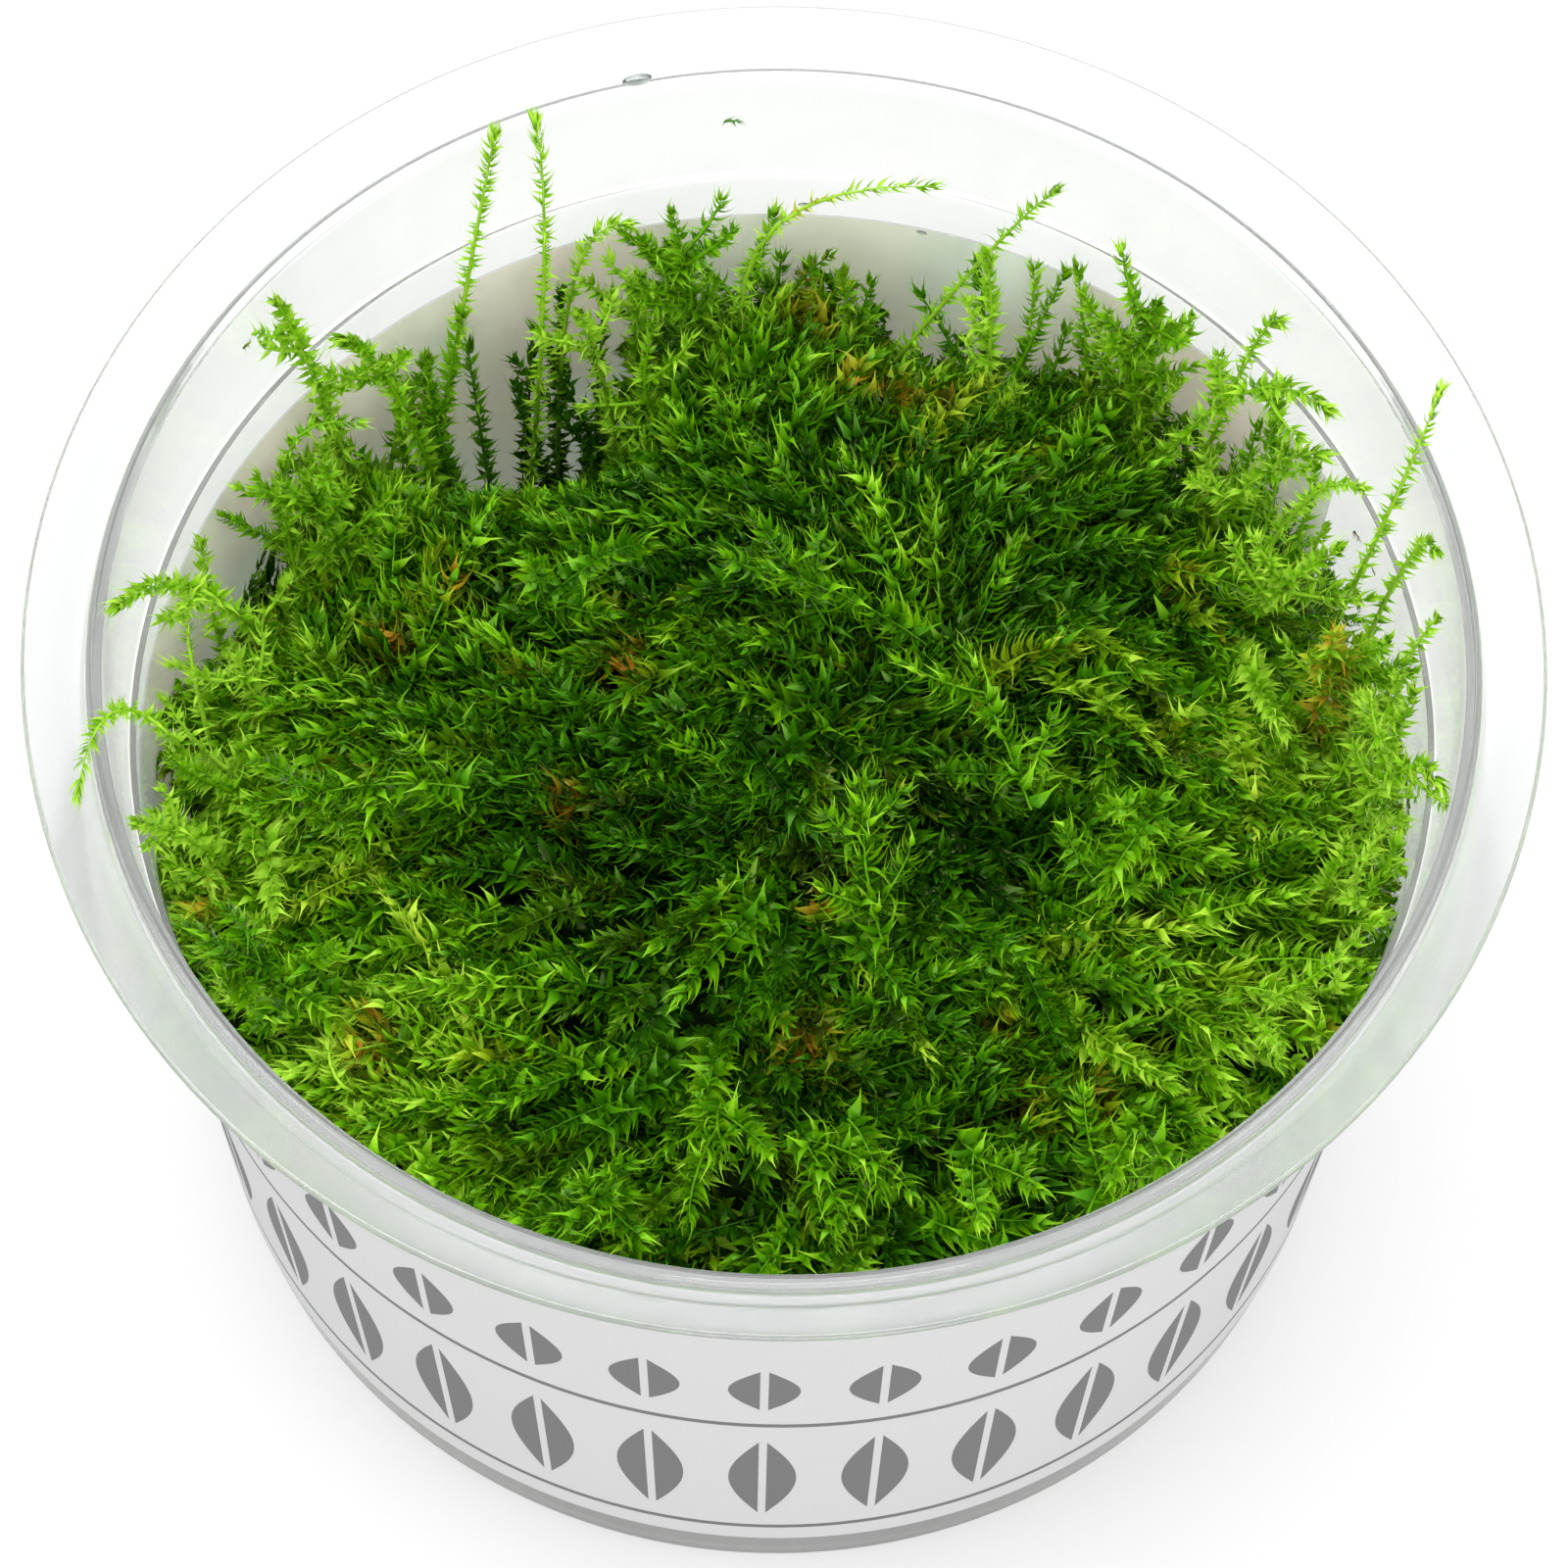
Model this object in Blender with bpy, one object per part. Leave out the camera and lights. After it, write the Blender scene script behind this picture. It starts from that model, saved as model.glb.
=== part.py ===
"""A clear plastic cup with a paper label, filled with a living cushion of christmas moss.

Metres, +Z up. The origin is the centre of the cup's foot, on the surface it stands on.
-Y is the front of the cup, where the moss meets the wall; the tall shoots stand at the back.
"""
import math

import bmesh
import bpy
from mathutils import Vector
from mathutils.bvhtree import BVHTree

MM = 0.001

# Driving dimensions of the cup
RIM_RADIUS = 50.0 * MM
CUP_HEIGHT = 62.7 * MM
WALL = 0.7 * MM
CUP_SEGMENTS = 48

# The foot: a flat ring round a shallow recess
FOOT_RADIUS = 39.2 * MM
FOOT_WIDTH = 2.6 * MM
FOOT_RECESS = 0.7 * MM
FLOOR_THICKNESS = 0.8 * MM

# The tapered wall, on its outside
WALL_FOOT_RADIUS = 40.4 * MM
WALL_FOOT_HEIGHT = 1.4 * MM
WALL_TOP_RADIUS = 44.0 * MM
WALL_TOP_HEIGHT = 50.4 * MM

# The shoulder: a narrow ledge at the top of the wall, and the neck above it
LEDGE_WIDTH = 0.45 * MM
LEDGE_RISE = 0.15 * MM
NECK_RADIUS = 45.4 * MM
NECK_HEIGHT = 54.3 * MM
SHOULDER_LAG = 0.8 * MM

# The rim: a small bead, then a thin flange that rises outwards to a rounded edge
BEAD_RADIUS = 45.3 * MM
BEAD_WIDTH = 1.0 * MM
BEAD_HEIGHT = 1.35 * MM
BEAD_RISE = 0.45 * MM
FLANGE_THICKNESS = 0.6 * MM
EDGE_ROUND = 0.3 * MM

# The label, a band that ends short of meeting itself at the back right, stuck on a little
# crooked: it stands higher in front, by this share of the distance
LABEL_GAP = 0.3 * MM
LABEL_THICKNESS = 0.2 * MM
LABEL_BOTTOM = 4.3 * MM
LABEL_TOP = 47.3 * MM
LABEL_TILT = 0.034
LABEL_FIRST_SEGMENT = 4
LABEL_SEGMENTS = 42

# The moss mound. Its surface falls from the crown to these heights at the wall, by azimuth
CROWN_HEIGHT = 53.0 * MM
WALL_HEIGHTS = {0: 40, 10: 38, 30: 33, 60: 30, 76: 27, 92: 36, 106: 29, 118: 14, 132: 33,
                142: 36, 158: 27, 170: 37, 180: 41, 210: 46, 240: 50, 270: 50, 300: 50, 330: 46}
MOUND_FALL = 2.6
MOUND_GAP = 0.4 * MM
MOUND_FOOT_RADIUS = 38.4 * MM
MOUND_RINGS = 20
MOUND_SECTORS = 84
TUFT_COUNT = 120
TUFT_RISE = 3.6 * MM
TUFT_SPREAD = 1.7 * MM
GOLDEN_ANGLE = math.radians(137.508)

# The shoots are tubes that swell from a thin foot and taper to a thin tip
SHOOT_GAP = 0.35 * MM
SHOOT_FOOT_RADIUS = 0.15 * MM
SHOOT_TIP_RADIUS = 0.35 * MM
SHOOT_STATIONS = 7
THIN = 0.9 * MM
PLAIN = 1.15 * MM
BUSHY = 1.6 * MM

# Each shoot: its thickness, then foot (azimuth, radius), middle and tip (azimuth, radius,
# height), in degrees and millimetres from the centre of the cup's foot
SHOOTS = {
    "shoot_tall_outer": (THIN, (131.5, 39.3), (123.6, 40.4, 54.6), (119, 42.6, 64.4)),
    "shoot_tall_inner": (THIN, (121.3, 37), (117.8, 37.3, 52.3), (115, 42.4, 64.6)),
    "shoot_back_leaning": (THIN, (117, 38), (113.2, 40.2, 45.1), (107.1, 39.5, 52.9)),
    "shoot_left_fork_long": (PLAIN, (140, 40), (142.5, 41.6, 52.5), (144, 43.2, 61.5)),
    "shoot_left_fork_short": (PLAIN, (132, 36), (137, 38, 50.5), (141, 39.5, 57.5)),
    "shoot_left_arching": (THIN, (149, 40), (149, 40.2, 49.5), (144, 36.5, 52.5)),
    "shoot_back_stub": (PLAIN, (112, 33.5), (113, 34.8, 43.5), (115, 35.3, 50.5)),
    "shoot_back_dark": (PLAIN, (108, 30), (109, 31.8, 43.5), (107, 33.3, 49.5)),
    "tuft_back_tall": (BUSHY, (101, 35.5), (101.5, 37, 47.5), (103, 38.5, 55.5)),
    "tuft_back_short": (PLAIN, (108, 38), (107, 38, 44.5), (107, 36.6, 50.5)),
    "shoot_back_diagonal": (THIN, (96, 36), (92, 38.2, 52.8), (76.3, 39.5, 58)),
    "shoot_back_right_long": (THIN, (80, 36.5), (71, 38.6, 50.8), (64, 40.4, 61.2)),
    "shoot_back_right_branch": (PLAIN, (67, 34), (66.5, 34.3, 50.5), (68, 34.9, 58.5)),
    "tuft_right_back": (BUSHY, (54, 38), (52, 39, 49.5), (50, 38.7, 57.5)),
    "shoot_right_thin": (THIN, (44, 39.5), (41, 41.2, 54.5), (39, 42.2, 60.5)),
    "shoot_right_long": (PLAIN, (47, 37), (38, 38.6, 55.5), (28, 40.7, 61.5)),
    "shoot_right_short": (PLAIN, (36, 37), (31, 37.8, 52.5), (27, 40.3, 57)),
    "shoot_over_rim_right": (THIN, (20, 40), (19, 42.8, 57.5), (23, 46.8, 65.5)),
    "shoot_right_crossing": (THIN, (28, 36.5), (24.5, 38.2, 54.5), (18, 40, 62.5)),
    "shoot_right_hooked": (THIN, (13.5, 40), (14, 42.6, 55.5), (11, 43.6, 61.5)),
    "shoot_right_slanting": (PLAIN, (22, 34), (19, 35.5, 50.5), (16, 38.5, 57.5)),
    "tuft_right": (BUSHY, (7, 36), (6.5, 37.2, 50.5), (6, 38.5, 57)),
    "shoot_right_low": (THIN, (6, 40), (6, 41.8, 53), (5, 43.2, 60.5)),
    "shoot_right_upright": (PLAIN, (358.5, 39), (359, 40.6, 50), (0, 41.7, 57.5)),
    "shoot_right_front": (PLAIN, (353, 38), (352.5, 41, 56), (349, 43.8, 59.5)),
    "shoot_left_reaching": (PLAIN, (160.5, 37.5), (170.3, 40.2, 54.6), (179, 43.8, 62.8)),
    "shoot_left_upright": (THIN, (180, 39), (175.5, 40, 50.9), (170.8, 40.9, 51.4)),
    "shoot_over_rim_left": (THIN, (183, 39), (189, 43.2, 62.5), (197, 47.3, 63.8)),
    "shoot_left_dark": (PLAIN, (175, 34.5), (175.5, 36, 47.5), (174.5, 37, 51.5)),
    "shoot_left_low": (PLAIN, (194, 38), (196.5, 41, 54.5), (198, 43.9, 59.5)),
    "tuft_left": (BUSHY, (152, 34), (153, 35.5, 47.5), (154, 36.5, 53.5)),
    "frond_centre_back": (PLAIN, (62, 6), (88, 8.3, 57), (102, 11.2, 59)),
    "frond_left_back": (PLAIN, (160, 21), (148, 15.7, 56.5), (136, 12.9, 58.5)),
    "frond_left": (PLAIN, (200, 21.5), (199, 29.7, 56), (195, 36.5, 55)),
    "frond_left_front": (PLAIN, (222, 34.5), (214, 39, 55), (207, 43, 56.5)),
    "frond_front": (THIN, (246, 38.5), (252, 39.4, 55.5), (257, 39.2, 58.5)),
    "frond_centre": (PLAIN, (286, 18), (293, 14.7, 57.5), (298, 10.2, 59)),
    "frond_right": (PLAIN, (325, 25.4), (333, 25.2, 57), (342, 26.6, 57.5)),
}


def clear_scene():
    for thing in list(bpy.data.objects):
        bpy.data.objects.remove(thing, do_unlink=True)


def material(name, colour, roughness, transmission=0.0):
    made = bpy.data.materials.new(name)
    made.use_nodes = True
    shader = made.node_tree.nodes["Principled BSDF"]
    shader.inputs["Base Color"].default_value = (*colour, 1.0)
    shader.inputs["Roughness"].default_value = roughness
    shader.inputs["Metallic"].default_value = 0.0
    shader.inputs["Transmission Weight"].default_value = transmission
    return made


def add_mesh(name, mesh_builder, finish):
    """Turn a bmesh into an object, closed and facing outwards."""
    bmesh.ops.recalc_face_normals(mesh_builder, faces=mesh_builder.faces)
    mesh = bpy.data.meshes.new(name)
    mesh_builder.to_mesh(mesh)
    mesh_builder.free()
    mesh.materials.append(finish)
    mesh.shade_smooth()
    mesh.set_sharp_from_angle(angle=math.radians(35))
    thing = bpy.data.objects.new(name, mesh)
    bpy.context.collection.objects.link(thing)
    return thing


def polar(azimuth, radius, height=0.0):
    """A point from an azimuth in degrees, a radius and a height."""
    turn = math.radians(azimuth)
    return Vector((radius * math.cos(turn), radius * math.sin(turn), height))


def blend(low, high, share):
    return low + (high - low) * share


def outer_wall_radius(height):
    """The tapered wall's outer radius."""
    share = (height - WALL_FOOT_HEIGHT) / (WALL_TOP_HEIGHT - WALL_FOOT_HEIGHT)
    return blend(WALL_FOOT_RADIUS, WALL_TOP_RADIUS, share)


def cup_outline():
    """The cup's section, from the axis under its foot, up the outside and down the inside."""
    floor_height = FOOT_RECESS + FLOOR_THICKNESS
    foot_inner = FOOT_RADIUS - FOOT_WIDTH
    bead_foot = BEAD_RADIUS + BEAD_WIDTH / 2
    bead_base = CUP_HEIGHT - BEAD_HEIGHT - BEAD_RISE
    flange_root = bead_base - FLANGE_THICKNESS
    edge_start = RIM_RADIUS - EDGE_ROUND
    outside = [
        (0.0, FOOT_RECESS),
        (foot_inner - FOOT_RECESS, FOOT_RECESS),
        (foot_inner, 0.0),
        (FOOT_RADIUS, 0.0),
        (blend(FOOT_RADIUS, WALL_FOOT_RADIUS, 0.7), WALL_FOOT_HEIGHT * 0.3),
        (WALL_FOOT_RADIUS, WALL_FOOT_HEIGHT),
        (WALL_TOP_RADIUS, WALL_TOP_HEIGHT),
        (WALL_TOP_RADIUS + LEDGE_WIDTH, WALL_TOP_HEIGHT + LEDGE_RISE),
        (NECK_RADIUS, NECK_HEIGHT),
        (bead_foot, flange_root - FLANGE_THICKNESS),
        (bead_foot + FLANGE_THICKNESS, flange_root),
        (edge_start, CUP_HEIGHT - FLANGE_THICKNESS),
        (RIM_RADIUS, CUP_HEIGHT - FLANGE_THICKNESS / 2),
    ]
    ledge_height = WALL_TOP_HEIGHT + SHOULDER_LAG
    inside = [
        (edge_start, CUP_HEIGHT),
        (bead_foot, bead_base),
        (BEAD_RADIUS, bead_base + BEAD_RISE),
        (BEAD_RADIUS - BEAD_WIDTH / 2, bead_base),
        (NECK_RADIUS - WALL, NECK_HEIGHT + SHOULDER_LAG),
        (WALL_TOP_RADIUS - WALL + LEDGE_WIDTH, ledge_height + LEDGE_RISE),
        (WALL_TOP_RADIUS - WALL, ledge_height),
        (WALL_FOOT_RADIUS - WALL, floor_height + WALL_FOOT_HEIGHT * 0.8),
        (FOOT_RADIUS - WALL, floor_height),
        (0.0, floor_height),
    ]
    return outside + inside


def turn_outline(outline, closed, first_turn, turn, steps):
    """Spin an outline of (radius, height) points about the vertical axis."""
    built = bmesh.new()
    start = math.degrees(first_turn)
    points = [built.verts.new(polar(start, radius, height)) for radius, height in outline]
    edges = [built.edges.new(pair) for pair in zip(points, points[1:])]
    spun = points + edges
    if closed:
        spun.append(built.edges.new((points[-1], points[0])))
        spun.append(built.faces.new(points))
    bmesh.ops.spin(built, geom=spun, cent=(0, 0, 0), axis=(0, 0, 1), angle=turn, steps=steps)
    bmesh.ops.remove_doubles(built, verts=built.verts, dist=0.01 * MM)
    return built


def make_cup():
    clear_plastic = material("clear_plastic", (0.93, 0.95, 0.94), 0.15, 0.9)
    built = turn_outline(cup_outline(), False, 0.0, math.tau, CUP_SEGMENTS)
    return add_mesh("cup", built, clear_plastic)


def make_label():
    paper = material("label_paper", (0.74, 0.74, 0.76), 0.6)
    step = math.tau / CUP_SEGMENTS
    lower = outer_wall_radius(LABEL_BOTTOM) + LABEL_GAP
    upper = outer_wall_radius(LABEL_TOP) + LABEL_GAP
    outline = [
        (lower, LABEL_BOTTOM),
        (lower + LABEL_THICKNESS, LABEL_BOTTOM),
        (upper + LABEL_THICKNESS, LABEL_TOP),
        (upper, LABEL_TOP),
    ]
    built = turn_outline(outline, True, LABEL_FIRST_SEGMENT * step, LABEL_SEGMENTS * step,
                         LABEL_SEGMENTS)
    for vert in built.verts:
        vert.co.z -= vert.co.y * LABEL_TILT
    return add_mesh("label", built, paper)


def wall_height(azimuth):
    """The mound's height where it meets the wall, read smoothly between the given azimuths."""
    azimuth = azimuth % 360
    known = sorted(WALL_HEIGHTS)
    before = max(angle for angle in known if angle <= azimuth)
    after = min((angle for angle in known if angle > azimuth), default=360)
    share = (azimuth - before) / (after - before)
    eased = share * share * (3 - 2 * share)
    return blend(WALL_HEIGHTS[before], WALL_HEIGHTS[after % 360], eased) * MM


def tuft_centres():
    """Tufts spread evenly over the mound, as seeds are in a sunflower's head."""
    centres = []
    for index in range(TUFT_COUNT):
        radius = WALL_FOOT_RADIUS * math.sqrt((index + 0.5) / TUFT_COUNT)
        centres.append(polar(math.degrees(index * GOLDEN_ANGLE), radius))
    return centres


def mound_height(azimuth, radius, centres):
    """The surface of the moss, with a tuft standing up at each centre."""
    edge = wall_height(azimuth)
    fall = min(1.0, radius / (WALL_TOP_RADIUS - WALL)) ** MOUND_FALL
    place = polar(azimuth, radius)
    tufts = 0.0
    for centre in centres:
        distance = (place - centre).length / TUFT_SPREAD
        tufts += TUFT_RISE * math.exp(-distance * distance / 2)
    return blend(CROWN_HEIGHT, edge, fall) + tufts - TUFT_RISE / 2


def make_mound(moss_green):
    """The mound: a tufted top, sides that follow the cup's wall, and a flat underside."""
    centres = tuft_centres()
    built = bmesh.new()
    top = built.verts.new((0, 0, mound_height(0, 0, centres)))
    rings = []
    for ring in range(1, MOUND_RINGS + 1):
        verts = []
        for sector in range(MOUND_SECTORS):
            azimuth = 360 * sector / MOUND_SECTORS
            edge = wall_height(azimuth)
            reach = outer_wall_radius(edge) - WALL - MOUND_GAP
            radius = reach * ring / MOUND_RINGS
            height = mound_height(azimuth, radius, centres)
            if ring == MOUND_RINGS:
                height = edge
            verts.append(built.verts.new(polar(azimuth, radius, height)))
        rings.append(verts)
    floor = FOOT_RECESS + FLOOR_THICKNESS + MOUND_GAP
    foot = []
    for sector in range(MOUND_SECTORS):
        foot.append(built.verts.new(polar(360 * sector / MOUND_SECTORS, MOUND_FOOT_RADIUS, floor)))
    rings.append(foot)
    for sector in range(MOUND_SECTORS):
        after = (sector + 1) % MOUND_SECTORS
        built.faces.new((top, rings[0][sector], rings[0][after]))
        for inner, outer in zip(rings, rings[1:]):
            built.faces.new((inner[sector], outer[sector], outer[after], inner[after]))
    built.faces.new(foot[::-1])
    bmesh.ops.triangulate(built, faces=built.faces)
    return add_mesh("moss_mound", built, moss_green)


def foot_on_mound(surface, azimuth, radius):
    """The point just off the mound's surface, straight above its given place."""
    above = polar(azimuth, radius * MM, CUP_HEIGHT)
    hit, normal, _, _ = surface.ray_cast(above, Vector((0, 0, -1)))
    return hit + normal * SHOOT_GAP


def shoot_radius(share, length, thickness):
    """Thin at the foot, full from a little above it, and thin again at the tip."""
    swell = min(1.0, SHOOT_FOOT_RADIUS / thickness + 0.3 * share * length / thickness)
    taper = blend(1.0, SHOOT_TIP_RADIUS / thickness, share ** 3)
    return thickness * swell * taper


def make_shoot(name, surface, moss_green, thickness, foot, middle, tip):
    """A tapered tube on the smooth curve that runs from foot to tip through the middle."""
    start = foot_on_mound(surface, *foot)
    end = polar(tip[0], tip[1] * MM, tip[2] * MM)
    bend = polar(middle[0], middle[1] * MM, middle[2] * MM) * 2 - (start + end) / 2
    length = (end - start).length
    curve = bpy.data.curves.new(name, "CURVE")
    curve.dimensions = "3D"
    curve.bevel_depth = thickness
    curve.bevel_resolution = 1
    curve.use_fill_caps = True
    curve.materials.append(moss_green)
    spline = curve.splines.new("POLY")
    spline.points.add(SHOOT_STATIONS - 1)
    for index, point in enumerate(spline.points):
        share = index / (SHOOT_STATIONS - 1)
        near = start.lerp(bend, share)
        place = near.lerp(bend.lerp(end, share), share)
        point.co = (*place, 1.0)
        point.radius = shoot_radius(share, length, thickness) / thickness
    thing = bpy.data.objects.new(name, curve)
    bpy.context.collection.objects.link(thing)
    return thing


def make_moss():
    moss_green = material("moss_green", (0.10, 0.28, 0.03), 0.55)
    mound = make_mound(moss_green)
    corners = [vertex.co.copy() for vertex in mound.data.vertices]
    faces = [tuple(face.vertices) for face in mound.data.polygons]
    surface = BVHTree.FromPolygons(corners, faces)
    for name, (thickness, foot, middle, tip) in SHOOTS.items():
        make_shoot(name, surface, moss_green, thickness, foot, middle, tip)


clear_scene()
make_cup()
make_label()
make_moss()
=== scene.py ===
"""The looks of a clear plastic cup filled with christmas moss, on a plain pale floor."""

import math
from collections import namedtuple

import bmesh
import bpy
import numpy as np
from mathutils import Matrix, Vector
from mathutils.bvhtree import BVHTree


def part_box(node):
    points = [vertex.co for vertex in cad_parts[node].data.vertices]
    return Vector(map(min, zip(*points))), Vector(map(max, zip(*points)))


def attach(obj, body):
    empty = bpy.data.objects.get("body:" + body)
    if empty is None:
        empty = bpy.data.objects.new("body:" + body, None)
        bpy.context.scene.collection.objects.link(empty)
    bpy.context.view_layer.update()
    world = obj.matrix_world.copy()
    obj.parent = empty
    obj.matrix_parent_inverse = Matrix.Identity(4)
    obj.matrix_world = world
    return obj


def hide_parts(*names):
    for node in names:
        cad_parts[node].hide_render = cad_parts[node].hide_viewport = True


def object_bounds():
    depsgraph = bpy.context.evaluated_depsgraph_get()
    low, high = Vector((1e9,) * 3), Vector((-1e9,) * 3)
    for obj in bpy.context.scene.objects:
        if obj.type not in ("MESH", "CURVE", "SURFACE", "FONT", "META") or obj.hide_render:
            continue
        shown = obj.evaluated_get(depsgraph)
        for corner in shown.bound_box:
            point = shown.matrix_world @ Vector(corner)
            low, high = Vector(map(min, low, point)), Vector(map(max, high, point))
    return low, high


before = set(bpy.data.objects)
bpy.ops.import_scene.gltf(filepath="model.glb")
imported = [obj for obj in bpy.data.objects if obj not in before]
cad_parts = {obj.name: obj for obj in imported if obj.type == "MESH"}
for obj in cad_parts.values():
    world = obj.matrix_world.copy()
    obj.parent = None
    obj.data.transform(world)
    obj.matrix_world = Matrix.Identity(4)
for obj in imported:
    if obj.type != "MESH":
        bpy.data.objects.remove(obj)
cad_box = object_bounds()

MM = 0.001
SEED = 7

# The cup, with the same driving sizes as its solid
CUP_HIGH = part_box("cup")[1]
RIM_RADIUS = CUP_HIGH.x
CUP_HEIGHT = CUP_HIGH.z
CUP_SIDES = 160
WALL = 0.7 * MM
FOOT_RADIUS = 39.2 * MM
FOOT_WIDTH = 2.6 * MM
FOOT_RECESS = 0.7 * MM
FLOOR_HEIGHT = FOOT_RECESS + 0.8 * MM
WALL_FOOT_RADIUS = 40.4 * MM
WALL_FOOT_HEIGHT = 1.4 * MM
WALL_TOP_RADIUS = 44.0 * MM
WALL_TOP_HEIGHT = 50.4 * MM
LEDGE_WIDTH = 0.45 * MM
LEDGE_RISE = 0.15 * MM
NECK_RADIUS = 45.4 * MM
NECK_HEIGHT = 54.3 * MM
SHOULDER_LAG = 0.8 * MM
BEAD_RADIUS = 45.3 * MM
BEAD_WIDTH = 1.0 * MM
BEAD_RISE = 0.45 * MM
BEAD_BASE = CUP_HEIGHT - 1.35 * MM - BEAD_RISE
BEAD_STEPS = 6
FLANGE_THICKNESS = 0.6 * MM
EDGE_ROUND = 0.3 * MM
EDGE_BEVEL = 0.15 * MM
BEVEL_STEPS = 3
BEVEL_ANGLE = 36
CUP_SMOOTH_ANGLE = 30

# The label, which lies close to the wall and ends short of meeting itself
LABEL_SIDES = 192
LABEL_BOTTOM = 4.3 * MM
LABEL_TOP = 47.3 * MM
LABEL_TILT = 0.034
LABEL_START = 30
LABEL_END = 345
LABEL_OFFSET = 0.14 * MM
LABEL_THICKNESS = 0.16 * MM
LABEL_SMOOTH_ANGLE = 40

# Its print: rows of leaves by their foot and height, with a share of each leaf's room for half
# its width and for half its bare rib, and lines by their height
PRINT_ROWS = ((11.0 * MM, 17.0 * MM), (34.0 * MM, 8.5 * MM))
PRINTED_LEAVES = 34
PRINT_BULGE = 0.3
PRINT_RIB = 0.035
PRINT_LINES = (8.5 * MM, 31.0 * MM)
LINE_HALF_WIDTH = 0.35 * MM
INK_STRENGTH = 0.9

# The moss keeps this far off the plastic
MOSS_GAP = 0.12 * MM

# A leaf 1 long, as rows of (how far along, width), with a channel on the midrib of the broad
# row: an oval blade that ends in a long fine point
LEAF_ROWS = ((0.0, 0.0), (0.21, 0.36), (0.47, 0.24), (0.73, 0.07), (1.0, 0.0))
SPARE_LEAF_ROWS = ((0.0, 0.0), (0.30, 0.32), (1.0, 0.0))
LEAF_CHANNEL = 0.06

# How deep the heart of the mound, dark with painted shade, lies under its surface, and how rough it
# is
HEART_DEPTH = 2.6 * MM
HEART_ROUGHNESS = 2.4 * MM
HEART_GRAIN = 2.2 * MM

# Below this the heart isn't drawn in, so that its painted shade shows dark through the plastic's
# foot
BARE_FOOT = 5.0 * MM

# Painted light and shade on the moss, darker over its hollows and brighter mostly near the wall:
# azimuth, radius, reach in mm, and the change in tone
LIGHT_AND_SHADE_PATCHES = (
    (328, 11, 9, -0.16), (226, 16, 7, -0.14), (31, 24, 9, -0.10), (85, 18, 9, -0.07),
    (301, 20, 4, 0.16), (5, 36, 10, 0.20), (227, 36, 10, 0.18), (193, 37, 8, 0.16),
    (318, 38, 9, 0.16), (172, 16, 6, 0.07), (125, 36, 9, 0.08), (215, 28, 6, 0.08),
    (270, 38, 13, -0.20), (295, 36, 9, -0.12), (246, 34, 7, -0.08),
)
# Painted light towards the wall, for the light that comes in through the clear plastic
WALL_PAINTED_LIGHT = 0.20

# How far leafy shoots may stand above the mound: by azimuth at the wall, and in the middle
CLEARANCE_AT_WALL = {0: 5, 20: 6, 50: 7, 70: 3, 90: 3, 110: 0.5, 125: 0.5, 140: 1.5, 160: 3,
                     178: 1.5, 200: 3, 330: 3.5}
CLEARANCE_IN_MIDDLE = 3.8
TIP_LIFT = 0.5 * MM
MOUND_REACH = 39.5 * MM

# Where the tangle lies deeper than the mound's solid: azimuth, radius, reach and depth in mm
HOLLOWS = ((124, 35, 9, 11), (328, 11, 5, 3.0), (226, 16, 5, 3.0), (31, 24, 5, 2.5),
           (85, 18, 4, 2.0), (262, 24, 4, 2.0), (150, 22, 4, 2.0), (300, 27, 4, 2.0))

# Where the wall shows past the moss: azimuth, radius and reach in mm, kept free of long shoots
BARE_PLACES = ((118, 40, 9), (131, 35, 7), (141, 41, 5), (163, 41, 4), (76, 42, 4), (16, 41, 4))

# Where single shoots have turned orange or brown: azimuth, radius and reach in mm
AGED_SPOTS = (
    (88, 37, 2.0), (81.5, 29.5, 1.9), (76, 30, 2.0), (71, 31, 1.7),
    (207, 15.9, 1.1), (280, 14.6, 1.2), (307, 35, 1.1), (300, 33, 1.1),
    (224, 36.4, 1.8), (157, 24.4, 1.3), (167, 27.2, 1.6), (160, 39, 1.2), (8, 37, 1.5),
    (26, 30, 1.1), (275, 24.8, 1.6), (303, 27.2, 1.1), (168, 10.5, 1.8), (200, 40.5, 1.0),
)

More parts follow.
